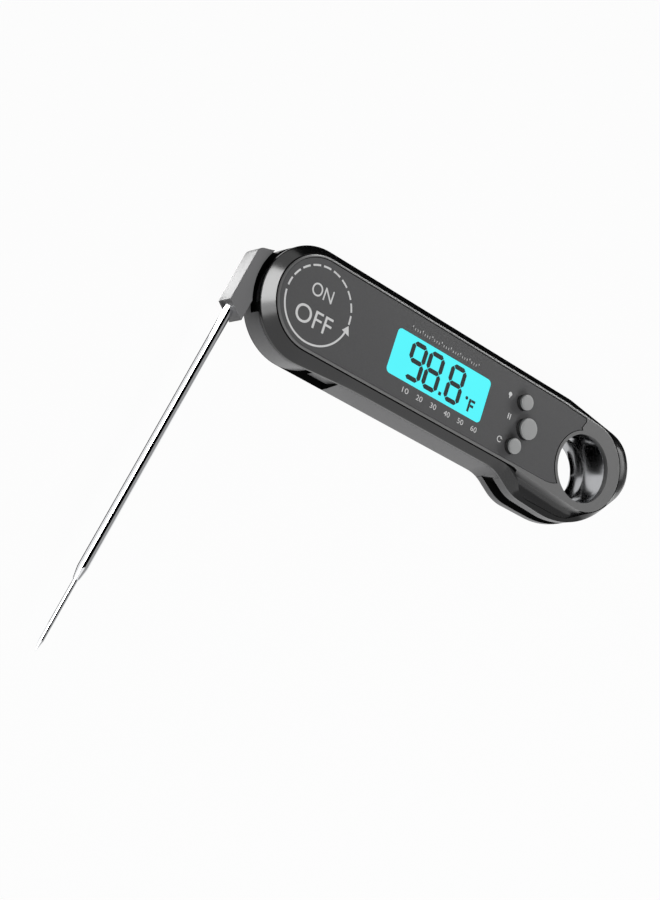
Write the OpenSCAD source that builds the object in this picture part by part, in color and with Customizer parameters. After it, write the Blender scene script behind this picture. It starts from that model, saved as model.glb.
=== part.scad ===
// Folding probe thermometer: a steel probe on an arm that swings out of a flat, round-headed case.
// The origin is on the hinge axis at the back of the case, +X runs to the hang hole, +Z out of the display.

/* [Case] */
// Radius of the round head and of the arm's hub
head_r = 19; // [18:0.5:21]
// Thickness of the case, back to face rim
body_t = 18; // [17.5:0.25:20]
// Depth of the front case
front_t = 5; // [4.8:0.1:5.4]
// Thickness of the rear plate under the arm's hub
plate_t = 4.6; // [3.6:0.1:5]
// Thickness of the back wall
back_t = 1.6; // [1.2:0.1:2]
// Thickness of the side walls
wall = 2; // [1.6:0.1:2.4]
// Distance from the hinge axis to the centre of the tail's end arc
tail_x = 126.2; // [124:0.2:130]
// Radius of the tail's end arc
tail_r = 16.6; // [16.4:0.1:17.4]
// Drop of the tail's end arc below the case's long axis
tail_drop = 0.6; // [0:0.1:0.8]
// Half width of the front case's lower edge at the waist
waist_low = 15.75; // [15.6:0.05:17]
// Distance from the waist to the tail's centre
waist_back = 26.2; // [24:0.2:28]
// Width of the bevel round the back
back_bevel_w = 3.4; // [2:0.1:3.6]
// Width of the rounding between the bevel and the back
back_edge_w = 1; // [0.6:0.1:1.2]
// Width of the front case's rounded band
band_w = 3.2; // [2.6:0.1:3.2]
// Height of the front case's rounded band
band_h = 3.4; // [2.6:0.1:3.6]

/* [Tail lobe] */
// Drop of the lobe's lower edge below the case's long axis
lobe_drop = 24.2; // [23.6:0.1:25.5]
// Distance from the lobe's near arc to the tail's centre
lobe_near_back = 25.2; // [24.4:0.2:26]
// Radius of the lobe's near arc
lobe_near_r = 12; // [11:0.2:13]
// Distance from the lobe's far arc to the tail's centre
lobe_far_back = 11.7; // [11:0.1:13]
// Radius of the lobe's far arc
lobe_far_r = 10; // [9:0.2:11]
// Radius of the hollow curve where the lobe leaves the case's side
lobe_hollow_r = 6; // [5:0.2:7]
// Distance of the probe slot's floor from the case's long axis
slot_floor = 19.4; // [19:0.1:19.8]
// Clearance between the folded probe and the slot's sides
slot_gap = 0.3; // [0.2:0.05:0.5]

/* [Face] */
// Radius of the bezel round the head
face_r = 15.4; // [14.8:0.1:15.4]
// Half width of the bezel near the tail
face_end_r = 15; // [14.6:0.1:15.2]
// Width of the bezel's visible rim
rim_w = 0.7; // [0.5:0.05:1]
// Height of the bezel's rim over the face plate
rim_rise = 0.2; // [0.1:0.05:0.3]
// Thickness of the face plate
face_t = 1; // [0.8:0.1:1.2]
// Thickness of the front case's deck under the face plate
deck_t = 0.8; // [0.7:0.05:0.9]
// Seam between the bezel and the front case
seam = 0.25; // [0.15:0.05:0.3]
// Radius of the bezel's end behind the hang hole
bezel_end_r = 16.4; // [15.6:0.1:16.6]
// Depth of the bezel's tail zone
zone_t = 3.8; // [3.2:0.1:4]
// Radius of the scooped edge of the tail zone
scoop_r = 19.4; // [18.6:0.1:20]

/* [Hang hole] */
// Distance from the hang hole's axis to the tail's centre
hole_back = 5.2; // [4.8:0.1:6]
// Drop of the hang hole's axis below the case's long axis
hole_drop = 3.2; // [2:0.1:3.6]
// Radius of the hang hole
hole_r = 11.9; // [10:0.1:12]
// Width of the bezel's ring round the hang hole
ring_w = 1.4; // [1:0.1:1.6]
// Wall thickness of the hang hole's liner
liner_t = 1; // [0.8:0.1:1.2]
// Radius of the liner's neck at the back
neck_r = 10.6; // [8:0.1:11]
// Height of the liner's tapered neck
neck_h = 5; // [3:0.1:6]

/* [Display] */
// Centre of the display along the case
lcd_x = 51.7; // [50:0.1:54]
// Width of the display window
lcd_w = 41.6; // [36:0.2:43]
// Height of the display window
lcd_h = 15.4; // [13:0.2:16]
// Corner radius of the display window
lcd_corner = 1.6; // [1:0.1:3]
// Overlap of the display glass behind the window's edge
glass_lap = 1.7; // [1.2:0.1:2]
// Thickness of the display glass
glass_t = 2.4; // [2:0.1:2.4]
// Thickness of the display backlight
light_t = 2; // [1.6:0.1:2]
// Thickness of the display gasket
gasket_t = 0.4; // [0.3:0.05:0.5]
// Width of each display connector strip
strip_w = 1.2; // [1:0.1:1.3]

/* [Buttons] */
// Place of the light button
light_at = [88.05, 6.84];
// Place of the hold button
hold_at = [91.85, -1.17];
// Place of the calibration button
cal_at = [88.15, -8.94];
// Radius of the small buttons
small_key_r = 2.4; // [2:0.05:2.6]
// Radius of the large button
large_key_r = 3.4; // [3:0.05:3.5]
// Height of the buttons over the face rim
key_rise = 1.8; // [1:0.1:2]
// Travel of the buttons
key_travel = 0.6; // [0.4:0.05:0.6]
// Clearance between a button and its hole
key_gap = 0.3; // [0.15:0.05:0.35]
// Width of the flange that holds a button in
key_flange = 0.8; // [0.6:0.05:0.85]
// Thickness of a button's flange
flange_t = 0.7; // [0.6:0.05:0.8]
// Side of a tact switch
switch_w = 4.6; // [4:0.1:5]
// Height of a tact switch's housing
switch_h = 2.6; // [2.2:0.1:2.6]
// Radius of a tact switch's plunger
plunger_r = 1.2; // [0.8:0.1:1.4]

/* [Probe] */
// Lean of the probe from square to the case, as shown
probe_lean = 10.6; // [0:0.2:20]
// Distance from the hinge axis to the probe's axis
probe_offset = 21.4; // [21.4:0.1:22]
// Diameter of the probe's shaft
shaft_d = 3.2; // [2.8:0.1:3.2]
// Diameter of the shaft's bore
shaft_bore_d = 2.1; // [1.8:0.1:2.1]
// Diameter of the thin tip
tip_d = 1.5; // [1.4:0.05:1.6]
// Diameter of the thin tip's bore
tip_bore_d = 1.04; // [0.9:0.02:1.1]
// Distance from the hinge to the start of the shaft's taper
taper_at = 107.5; // [90:0.5:108]
// Length of the shaft's taper
taper_l = 3.6; // [3:0.1:5]
// Distance from the hinge to the probe's point
probe_reach = 134.2; // [125:0.2:135]
// Length of the sharpened point
point_l = 3.4; // [2:0.1:5]
// Length of the tip's stem inside the shaft
tip_stem = 4; // [3:0.1:6]

/* [Arm] */
// Distance from the hinge axis to the block's outer face
block_out = 24.3; // [24.1:0.05:24.6]
// Distance from the hinge axis to the block's inner face
block_in = 17.6; // [17:0.1:17.8]
// Thickness of the block
block_t = 7; // [6:0.1:7.2]
// Distance from the hinge to the probe end of the outer face
block_end = 14.7; // [13:0.1:15]
// Distance from the hinge to the far corner of the outer face
block_top = 5; // [4:0.1:5.4]
// Flare of the block's two ends
block_flare = 26; // [20:0.5:28]
// Rounding of the block's far corner
block_corner_r = 3; // [2:0.1:3.5]
// Depth of the probe's socket in the block
socket_l = 13; // [10:0.2:14]
// Clearance above and below the hub
hub_gap = 0.2; // [0.15:0.05:0.3]
// Clearance round the hub and the block
swing_gap = 0.35; // [0.3:0.05:0.5]
// Side of the notch beside the block
notch_w = 3.2; // [2:0.1:3.4]
// Depth of the notch beside the block
notch_h = 4; // [2:0.1:5]

/* [Pivot] */
// Radius of the rear case's pivot post
post_r = 3.2; // [3:0.1:3.4]
// Wall thickness of the pivot sleeve
sleeve_t = 1.25; // [1:0.05:1.3]
// Running clearance of the hub on its sleeve
run_gap = 0.05; // [0.03:0.01:0.08]
// Outer radius of the friction washer
washer_r = 8; // [7:0.1:8.4]
// Thickness of the friction washer
washer_t = 0.7; // [0.5:0.05:0.8]
// Radius of the pivot screw's shank
pivot_screw_r = 1.25; // [1:0.05:1.5]
// Radius of the pivot screw's head
pivot_head_r = 3; // [2.5:0.1:3.2]
// Height of the pivot screw's head
pivot_head_h = 1.6; // [1.2:0.1:1.7]

/* [Electronics] */
// Start of the circuit board along the case
board_x0 = 25; // [24.6:0.1:26]
// End of the circuit board along the case
board_x1 = 97; // [95.6:0.1:98]
// Half width of the circuit board
board_half_w = 13.6; // [13.4:0.05:13.7]
// Thickness of the circuit board
board_t = 1.6; // [1.2:0.1:1.6]
// Side of the controller chip
chip_w = 10; // [6:0.5:12]
// Thickness of the controller chip
chip_t = 1.4; // [1:0.1:2]
// Length of the reed switch
reed_l = 12; // [10:0.5:14]
// Side of the reed switch
reed_w = 2.2; // [1.8:0.1:2.6]
// Width of the lead from the pivot to the board
lead_w = 3; // [2:0.1:4]
// Thickness of the lead from the pivot to the board
lead_t = 0.4; // [0.3:0.05:0.5]
// Radius of the sensor lead inside the probe
sensor_r = 0.35; // [0.25:0.01:0.4]
// Length of the thermistor
bead_l = 3; // [2:0.1:4]
// Radius of the arm's magnet
arm_magnet_r = 2.5; // [2:0.1:3]
// Thickness of the arm's magnet
arm_magnet_t = 3; // [2:0.1:4]
// Radius of each back magnet
back_magnet_r = 5; // [4:0.1:5.2]
// Thickness of each back magnet
back_magnet_t = 2; // [1.5:0.1:2.5]
// Case wall behind a back magnet
magnet_skin = 0.7; // [0.5:0.05:0.9]

/* [Battery] */
// Centre of the coin cell along the case
cell_x = 52; // [50:0.2:54]
// Radius of the coin cell
cell_r = 10; // [8:0.1:10.1]
// Thickness of the coin cell
cell_t = 3.2; // [2.5:0.1:3.3]
// Wall thickness of the cell holder
holder_t = 1.2; // [1:0.1:1.4]
// Radius of the battery cover's flange
cover_r = 12.9; // [12.8:0.05:13]
// Thickness of the battery cover's flange
cover_t = 1.1; // [1:0.05:1.2]
// Radius of the battery cover's plug
plug_r = 11.2; // [11:0.05:11.3]
// Height of the battery cover's collar in the case
collar_h = 3; // [2.8:0.1:3.2]
// Reach of the bayonet lugs past the plug
lug_reach = 1.3; // [1:0.1:1.4]
// Half angle of a bayonet lug
lug_half = 14; // [10:0.5:16]
// Turn from locked to free
cover_turn = 45; // [40:1:60]
// Section radius of the cover's seal
seal_r = 0.42; // [0.35:0.01:0.45]
// Running clearance round the battery cover
cover_gap = 0.1; // [0.08:0.01:0.2]
// Length of the coin slot
coin_slot_l = 14; // [10:0.5:18]
// Width of the coin slot
coin_slot_w = 1.8; // [1.4:0.1:2.2]
// Depth of the coin slot
coin_slot_h = 0.7; // [0.5:0.05:0.8]
// Thickness of the contact metal
contact_t = 0.3; // [0.2:0.02:0.35]
// Width of the contact strips
contact_w = 4; // [3:0.1:5]

/* [Fasteners] */
// Radius of a case screw's shank
screw_r = 1.1; // [0.9:0.05:1.2]
// Radius of a case screw's head
screw_head_r = 2.1; // [1.8:0.05:2.2]
// Height of a case screw's head
screw_head_h = 1.4; // [1:0.1:1.6]
// Depth of a case screw's head below the back
screw_sink = 0.6; // [0.4:0.05:0.8]
// Wall thickness of a screw boss
boss_t = 1.4; // [1.2:0.05:1.5]
// Radius of a board screw's shank
board_screw_r = 0.8; // [0.7:0.05:0.9]
// Radius of a board screw's head
board_head_r = 1.6; // [1.4:0.05:1.7]
// Height of a board screw's head
board_head_h = 1; // [0.8:0.1:1.2]

/* [Hidden] */
$fn = 64;
form_fn = 64;
sliver = 0.01;
fit = 0.05;
over = 1;
facet_angle = 6;
far = 60;

// Heights
split_z = body_t - front_t;
deck_z = body_t - rim_rise - face_t;
deck_low = deck_z - deck_t;
band_top = body_t - 0.3;
zone_z = body_t - zone_t;
hub_z0 = plate_t + hub_gap;
hub_z1 = split_z - hub_gap;
probe_z = (plate_t + split_z) / 2;
slot_low = probe_z - shaft_d / 2 - slot_gap;
slot_high = probe_z + shaft_d / 2 + slot_gap;
glass_z = deck_low - gasket_t - glass_t;
light_z = glass_z - light_t;
board_top = light_z;
board_z = board_top - board_t;
magnet_z = magnet_skin;

// Plan of the case, as [x, y, radius] arcs
waist_x = tail_x - waist_back;
head_arc = [0, 0, head_r];
tail_arc = [tail_x, -tail_drop, tail_r];
lobe_near = [tail_x - lobe_near_back, lobe_near_r - lobe_drop, lobe_near_r];
lobe_far = [tail_x - lobe_far_back, lobe_far_r - lobe_drop, lobe_far_r];
front_plan = [head_arc, hollow(waist_low, lobe_near, lobe_hollow_r), lobe_near, lobe_far, tail_arc];
rear_plan = [head_arc, hollow(head_r, lobe_near, lobe_hollow_r), lobe_near, lobe_far, tail_arc];
hole_at = [tail_x - hole_back, -hole_drop];

// Half widths of the case's two long sides
function side_up(x) = head_r + (tail_r - tail_drop - head_r) * x / tail_x;
function side_low(x) = (head_r - waist_low) * x / waist_x - head_r;

// Plan of the face
face_head = [0, 0, face_r];
face_tail_back = 20.8;
face_stop_back = 4.6;
face_hollow_r = 5;
bezel_end_shift = [1.2, 0.9];
scoop_back = 15.8;
scoop_lift = 0.8;
zone_lead_r = 2;
face_tail = [tail_x - face_tail_back, 0, face_end_r];
bezel_end = [hole_at.x + bezel_end_shift.x, hole_at.y + bezel_end_shift.y, bezel_end_r];
scoop = [tail_x - scoop_back, scoop_r - lobe_drop + scoop_lift, scoop_r];
face_stop = hole_at.x - face_stop_back;
face_hollow = hollow(face_end_r + rim_rise, scoop, face_hollow_r);
bezel_arcs = [face_head, face_hollow, scoop, bezel_end, face_tail];
zone_start = face_hollow.x - zone_lead_r;
zone_lead = [zone_start, zone_lead_r - face_end_r, zone_lead_r];

// Arm
block_w = block_out - block_in;
socket_end = block_end + (block_out - probe_offset) * tan(block_flare);
socket_start = socket_end - socket_l;
lead_turn = 2;
lead_reach = probe_offset - washer_r - 4;
shaft_start = socket_start + lead_turn;
lead_hole_r = sensor_r + 0.4;
bore_r = post_r + fit + sleeve_t + run_gap;
horn_x = 10.5;
pocket_end = block_end + block_w * tan(block_flare) + 2 * swing_gap;
horn_rise = 2.3;
horn_depth = 3;
horn_low = plate_t + horn_rise;
lead_x = washer_r + 2;
notch_at = [-block_in - 0.2, -sqrt(head_r * head_r - block_in * block_in) - notch_w / 2];
arm_magnet_wall = 2.4;
magnet_ring = head_r - arm_magnet_r - arm_magnet_wall;

// Battery
plug_top = collar_h + cover_gap;
lug_t = 0.8;
lug_play = 3;
cell_z = plug_top + lug_t + 2 * fit;
holder_r = cell_r + 0.2;
collar_r = cover_r + cover_gap + boss_t;

// Fasteners and supports
boss_r = screw_r + boss_t;
board_bite = 4;
case_screws_at = [[25.5, 10.5], [25.5, -10.5], [103, 10], [103, -9.6]];
board_screws_at = [[31.4, 11.6], [31.4, -11.6], [94.4, 11.4], [94.4, -11.4]];
magnets_at = [[27.6, 0], [80, 0]];
buttons_at = [light_at, hold_at, cal_at];
buttons_r = [small_key_r, large_key_r, small_key_r];

// Angle of the outward normal of the tangent that joins two arcs, run counter-clockwise
function tangent_angle(a, b) =
    atan2(b.y - a.y, b.x - a.x) - acos((a[2] - b[2]) / norm([b.x - a.x, b.y - a.y]));

function grown(arcs, by) = [for (a = arcs) [a.x, a.y, a[2] + by]];

function on_arc(a, t) = [a.x + a[2] * cos(t), a.y + a[2] * sin(t)];

// Outward normals where a belt reaches and leaves an arc, and the turn between them
function before(arcs, i) = tangent_angle(arcs[(i + len(arcs) - 1) % len(arcs)], arcs[i]);

function after(arcs, i) = tangent_angle(arcs[i], arcs[(i + 1) % len(arcs)]);

function arc_turn(arcs, i) =
    let (side = sign(arcs[i][2]), turn = side * (after(arcs, i) - before(arcs, i)))
        side * (turn - 360 * floor(turn / 360));

function arc_points(arcs, i) =
    let (turn = arc_turn(arcs, i), steps = max(2, ceil(abs(turn) / facet_angle)))
        [for (k = [0 : steps]) on_arc(arcs[i], before(arcs, i) + turn * k / steps)];

// Points of a belt round a few arcs, counter-clockwise; an arc of negative radius is hollow
function outline(arcs) = [for (i = [0 : len(arcs) - 1]) each arc_points(arcs, i)];

// The hollow arc between a straight lower side and a lobe's arc
function hollow(side, lobe, r) =
    let (apart = r + lobe[2] + 0.3, drop = side + r + lobe.y)
        [lobe.x - sqrt(apart * apart - drop * drop), -side - r, -r];

module belt(arcs) {
    polygon(outline(arcs));
}

// A solid with the outline of a belt, whose edge follows a profile of [inset, height] points
module edged(arcs, profile) {
    n = len(outline(arcs));
    top = len(profile) + 1;
    first = profile[0];
    last = profile[len(profile) - 1];
    levels = concat([first - [0, over]], profile, [last + [0, over]]);
    intersection() {
        polyhedron(
            points = [for (p = levels, q = outline(grown(arcs, -p[0]))) [q.x, q.y, p[1]]],
            faces = concat(
                [[for (i = [0 : n - 1]) i], [for (i = [n - 1 : -1 : 0]) top * n + i]],
                [for (l = [0 : top - 1], i = [0 : n - 1])
                    [l * n + i, (l + 1) * n + i, (l + 1) * n + (i + 1) % n, l * n + (i + 1) % n]]
            )
        );
        translate([-far, -far, first[1]])
            cube([4 * far, 2 * far, last[1] - first[1]]);
    }
}

// A smooth shell through discs, given as [height, arcs, inset] layers
module form(layers) {
    hull()
        for (l = layers, a = l[1])
            translate([a.x, a.y, l[0]])
                cylinder(r = a[2] - l[2], h = sliver, $fn = form_fn);
}

module slab(z0, z1) {
    translate([0, 0, z0])
        linear_extrude(z1 - z0)
            children();
}

module drill(at, r, z0, z1) {
    translate([at.x, at.y, z0])
        cylinder(r = r, h = z1 - z0);
}

module round_rect(w, h, r) {
    square([w - 2 * r, h], center = true);
    square([w, h - 2 * r], center = true);
    for (x = [-1, 1], y = [-1, 1])
        translate([x * (w / 2 - r), y * (h / 2 - r)])
            circle(r = r);
}

module arm_frame() {
    rotate([0, 0, -probe_lean])
        children();
}

// Turns a profile of [radius, length] points about the probe's axis, from a distance past the hinge
module along_probe(u) {
    arm_frame()
        translate([-probe_offset, -u, probe_z])
            rotate([90, 0, 0])
                children();
}

// Profiles of the rounded back edge and of the rounded front band
back_profile = [[back_bevel_w + back_edge_w, 0], [back_bevel_w, back_edge_w / 3], [0, plate_t], [0, split_z]];
band_profile = concat(
    [[0, split_z]],
    [for (a = [0 : 22.5 : 90]) [band_w * (1 - cos(a)), band_top - band_h * (1 - sin(a))]]
);

module face_plan(by) {
    difference() {
        belt(grown([face_head, face_tail], by - rim_w));
        translate(hole_at)
            circle(r = hole_r + ring_w - by);
        translate([face_stop + by, -far])
            square([2 * far, 2 * far]);
    }
}

// The tail part of the face, beside and behind the face plate
module zone_box() {
    polygon([[zone_start, -far], [3 * far, -far], [3 * far, far], [face_tail.x, far],
        [face_tail.x, -face_end_r / 2], [zone_start, -face_end_r / 2]]);
}

// Plan of the space inside the case, kept off the head and the hang hole
module cavity_plan(side_wall, start) {
    near = start + 8;
    end = hole_at.x - hole_r - liner_t - wall - 1.5;
    low = side_low(waist_x) + side_wall;
    polygon([[start, -board_half_w + 2], [near, side_low(near) + side_wall], [waist_x - 2, low], [end, low],
        [end, side_up(end) - side_wall], [near, side_up(near) - side_wall], [start, board_half_w - 2]]);
}

module rear_cavity_plan() {
    difference() {
        cavity_plan(wall, 0);
        circle(r = head_r + swing_gap + wall);
    }
}

// Space that the arm swings through on the case's middle level
module arm_space() {
    slab(plate_t, split_z + over) {
        circle(r = head_r + swing_gap);
        translate([-far, 0])
            square([far + horn_x, far]);
        translate([-far, -far])
            square([far + horn_x, far]);
        translate([0, -far])
            square([pocket_end, far - block_in + swing_gap]);
    }
    slab(plate_t, horn_low)
        translate([0, -far])
            square([pocket_end, far - block_in + horn_depth]);
}

// Slanted cut that leads the rear case's lower side up to the narrower front case
module lower_slope() {
    rise = split_z - plate_t;
    inset = head_r - waist_low;
    translate([0, -head_r, split_z])
        rotate([0, 0, atan(inset / waist_x)])
            rotate([-atan(inset / rise), 0, 0])
                translate([0, -far, -far])
                    cube([front_plan[1].x, far, 2 * far]);
}

module rear_shell() {
    difference() {
        edged(rear_plan, back_profile);
        lower_slope();
        arm_space();
        slab(back_t, split_z + over)
            rear_cavity_plan();
        slab(slot_low, split_z + over)
            translate([lobe_near.x - lobe_near_r - over, -far])
                square([far, far - slot_floor]);
        drill([0, 0], washer_r + 6, plate_t / 2, plate_t + over);
    }
}

module rear_case() {
    color("#5b5b5b")
        difference() {
            union() {
                rear_shell();
                drill([0, 0], post_r + 2, plate_t / 2 - fit, plate_t);
                drill([0, 0], post_r, plate_t / 2, split_z - fit);
                drill([cell_x, 0], collar_r, back_t - fit, collar_h);
                for (p = case_screws_at)
                    drill(p, screw_head_r + boss_t, back_t - fit, split_z);
                for (p = board_screws_at)
                    drill(p, board_screw_r + boss_t, back_t - fit, board_z);
                for (p = magnets_at)
                    drill(p, back_magnet_r + wall / 2, back_t - fit, magnet_z + back_magnet_t);
            }
            drill([0, 0], pivot_screw_r + fit, plate_t, split_z);
            drill(hole_at, hole_r + liner_t + fit, -over, split_z + over);
            drill([cell_x, 0], cover_r + cover_gap, -over, cover_t + cover_gap);
            drill([cell_x, 0], plug_r + cover_gap * 2, 0, collar_h + over);
            translate([cell_x, 0])
                slab(cover_t, collar_h + over)
                    rotate(cover_turn)
                        lug_plan(lug_half + lug_play, 2 * cover_gap);
            for (p = case_screws_at) {
                drill(p, screw_head_r + 2 * fit, -over, screw_sink + screw_head_h);
                drill(p, screw_r + 2 * fit, 0, split_z + over);
            }
            for (p = board_screws_at)
                drill(p, board_screw_r + fit, back_t + 1, board_z + over);
            for (p = magnets_at)
                drill(p, back_magnet_r + fit, magnet_z, magnet_z + back_magnet_t + over);
        }
}

// Two bayonet lugs, grown by a gap
module lug_plan(half, gap) {
    reach = plug_r + lug_reach + gap;
    intersection() {
        circle(r = reach);
        for (s = [0, 180])
            rotate(s)
                polygon([[0, 0], [2 * reach, -2 * reach * tan(half)], [2 * reach, 2 * reach * tan(half)]]);
    }
}

module front_shell() {
    difference() {
        union() {
            edged(front_plan, band_profile);
            slab(slot_high, split_z + fit)
                intersection() {
                    belt(grown(front_plan, -fit));
                    translate([0, -far - slot_floor - swing_gap])
                        square([3 * far, far]);
                }
        }
        slab(split_z - over, deck_low)
            cavity_plan(band_w, lead_x);
        slab(split_z - over, split_z + lead_t + 2 * fit)
            translate([washer_r, -lead_w / 2 - fit])
                square([lead_x - washer_r + over, lead_w + 2 * fit]);
    }
}

module front_case() {
    color("#3c3c3d")
        difference() {
            union() {
                front_shell();
                for (p = case_screws_at)
                    drill(p, boss_r, split_z, deck_low + fit);
            }
            slab(deck_z, body_t + over)
                belt(grown(bezel_arcs, seam));
            slab(zone_z, deck_z)
                difference() {
                    intersection() {
                        belt(grown(bezel_arcs, seam));
                        zone_box();
                    }
                    face_plan(-seam);
                }
            slab(0, body_t + over)
                translate([lcd_x, 0])
                    round_rect(lcd_w + 4 * fit, lcd_h + 4 * fit, lcd_corner + 2 * fit);
            for (i = [0 : 2])
                drill(buttons_at[i], buttons_r[i] + key_gap, split_z, body_t + over);
            drill(hole_at, hole_r + liner_t + fit, 0, body_t + over);
            drill([0, 0], pivot_screw_r + fit, 0, body_t + over);
            drill([0, 0], pivot_head_r + 2 * fit, deck_z - pivot_head_h - fit, body_t + over);
            for (p = case_screws_at)
                drill(p, screw_r + fit, split_z - over, deck_low - 0.6);
        }
}

module bezel() {
    color("#7a7a7a")
        difference() {
            slab(zone_z, body_t)
                difference() {
                    belt(bezel_arcs);
                    face_plan(seam / 2);
                }
            slab(zone_z - over, deck_z)
                difference() {
                    square(6 * far, center = true);
                    zone_box();
                }
            difference() {
                slab(zone_z, body_t + over)
                    zone_box();
                form([[zone_z - 0.5, [scoop, bezel_end], -0.5],
                    [body_t, [[hole_at.x, hole_at.y, hole_r + ring_w], zone_lead, face_tail], 0],
                    [body_t, [bezel_end], 0.9]]);
            }
            drill(hole_at, hole_r, zone_z - over, body_t + over);
            drill(hole_at, hole_r + liner_t + fit, zone_z - over, liner_top());
        }
}

function liner_top() = body_t - zone_t / 2;

module face_plate() {
    color("#555556")
        difference() {
            slab(deck_z, deck_z + face_t)
                face_plan(0);
            slab(deck_z - over, body_t)
                translate([lcd_x, 0])
                    round_rect(lcd_w + 2 * fit, lcd_h + 2 * fit, lcd_corner + fit);
            for (i = [0 : 2])
                drill(buttons_at[i], buttons_r[i] + key_gap, deck_z - over, body_t);
        }
}

module lcd_window() {
    color("#d7f6fa", 0.35)
        slab(deck_low, deck_z + face_t - fit)
            translate([lcd_x, 0])
                round_rect(lcd_w, lcd_h, lcd_corner);
}

module display_gasket() {
    color("#202020")
        slab(deck_low - gasket_t, deck_low)
            translate([lcd_x, 0])
                difference() {
                    round_rect(lcd_w + 2 * glass_lap, lcd_h + 2 * glass_lap, lcd_corner);
                    round_rect(lcd_w - 1, lcd_h - 1, lcd_corner);
                }
}

module lcd_glass() {
    color("#5cf7ff")
        slab(glass_z, glass_z + glass_t)
            translate([lcd_x, 0])
                square([lcd_w + 2 * glass_lap, lcd_h + 2 * glass_lap], center = true);
}

module lcd_backlight() {
    color("#e8fbff")
        slab(light_z, light_z + light_t)
            translate([lcd_x, 0])
                square([lcd_w + 2 * glass_lap, lcd_h + 2 * glass_lap - 2 * strip_w - 0.4], center = true);
}

module lcd_connectors() {
    color("#6f4a50")
        for (s = [-1, 1])
            slab(light_z, light_z + light_t)
                translate([lcd_x, s * (lcd_h / 2 + glass_lap - strip_w / 2)])
                    square([lcd_w, strip_w], center = true);
}

module circuit_board() {
    color("#1f6b45")
        difference() {
            slab(board_z, board_top)
                difference() {
                    translate([board_x0, -board_half_w])
                        square([board_x1 - board_x0, 2 * board_half_w]);
                    for (p = case_screws_at)
                        translate(p)
                            circle(r = screw_head_r + boss_t + 0.3);
                }
            for (p = board_screws_at)
                drill(p, board_screw_r + 2 * fit, 0, body_t);
        }
}

module controller_chip() {
    color("#1a1a1a")
        slab(board_z - chip_t, board_z)
            translate([magnets_at[1].x, 0])
                round_rect(chip_w, chip_w, chip_w / 4);
}

module reed_switch() {
    color("#2a2a2c")
        slab(board_z - reed_w, board_z)
            translate([board_screws_at[0].x, 0])
                round_rect(reed_w, reed_l, reed_w / 4);
}

module tact_switches() {
    color("#c9c9c4")
        for (p = buttons_at) {
            slab(board_top, board_top + switch_h)
                translate(p)
                    square(switch_w, center = true);
            drill(p, plunger_r, board_top + switch_h - fit, key_low() - key_travel - 2 * fit);
        }
}

function key_low() = deck_low - 2 * fit - flange_t;

// A button cap with the flange that holds it under the deck and a softened rim
module key(at, r) {
    crown = 0.4;
    drill(at, r + key_flange, key_low(), key_low() + flange_t);
    drill(at, r, key_low(), body_t + key_rise - crown);
    translate([at.x, at.y, body_t + key_rise - crown])
        cylinder(r1 = r, r2 = r - crown, h = crown);
}

module light_button() {
    color("#909090")
        key(light_at, small_key_r);
}

module hold_button() {
    color("#909090")
        key(hold_at, large_key_r);
}

module cal_button() {
    color("#909090")
        key(cal_at, small_key_r);
}

module cell_holder() {
    color("#33363a")
        difference() {
            drill([cell_x, 0], holder_r + holder_t, cell_z + 0.3, board_z);
            drill([cell_x, 0], holder_r, 0, board_z + over);
            slab(0, body_t)
                translate([cell_x, -contact_w / 2 - 0.3])
                    square([far, contact_w + 0.6]);
        }
}

module coin_cell() {
    color("#c8c8cc")
        difference() {
            drill([cell_x, 0], cell_r, cell_z, cell_z + cell_t);
            translate([cell_x, 0, cell_z + cell_t - 0.3])
                difference() {
                    cylinder(r = cell_r + over, h = over);
                    cylinder(r = cell_r - 1.2, h = over);
                }
        }
}

module battery_contact_pos() {
    color("#b9a05a")
        slab(cell_z + 0.4, board_z)
            translate([cell_x + cell_r + fit, -contact_w / 2])
                square([contact_t, contact_w]);
}

module battery_contact_neg() {
    color("#b9a05a") {
        slab(cell_z + cell_t + fit, cell_z + cell_t + fit + contact_t)
            translate([cell_x, 0])
                square([cell_r, contact_w], center = true);
        slab(cell_z + cell_t + fit, board_z)
            translate([cell_x - cell_r / 2, -contact_w / 2])
                square([contact_t, contact_w]);
    }
}

module back_magnets() {
    color("#8e9196")
        for (p = magnets_at)
            drill(p, back_magnet_r, magnet_z, magnet_z + back_magnet_t);
}

// A pan-head screw standing on its head, with a cross recess
module screw(r, head_r, head_h, length) {
    difference() {
        union() {
            cylinder(r = head_r, h = head_h);
            cylinder(r = r, h = head_h + length);
        }
        for (a = [0, 90])
            rotate(a)
                cube([head_r * 1.2, head_r * 0.3, head_h], center = true);
    }
}

module case_screws() {
    color("#7d7f82")
        for (p = case_screws_at)
            translate([p.x, p.y, screw_sink])
                screw(screw_r, screw_head_r, screw_head_h, deck_low - 1 - screw_sink - screw_head_h);
}

module board_screws() {
    color("#7d7f82")
        for (p = board_screws_at)
            translate([p.x, p.y, board_top + board_head_h])
                rotate([180, 0, 0])
                    screw(board_screw_r, board_head_r, board_head_h, board_t + board_bite);
}

module pivot_screw() {
    color("#7d7f82")
        translate([0, 0, deck_z - fit])
            rotate([180, 0, 0])
                screw(pivot_screw_r, pivot_head_r, pivot_head_h, split_z - plate_t);
}

module hang_ring() {
    low = 0.3;
    color("#1d1d1e")
        translate([hole_at.x, hole_at.y, 0])
            rotate_extrude()
                polygon([[neck_r, low], [hole_r + liner_t, low], [hole_r + liner_t, liner_top() - fit],
                    [hole_r, liner_top() - fit], [hole_r, low + neck_h]]);
}

module pivot_sleeve() {
    color("#b08d4a")
        difference() {
            drill([0, 0], post_r + fit + sleeve_t, plate_t + fit, split_z - fit);
            drill([0, 0], post_r + fit, plate_t - over, split_z + over);
        }
}

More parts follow.
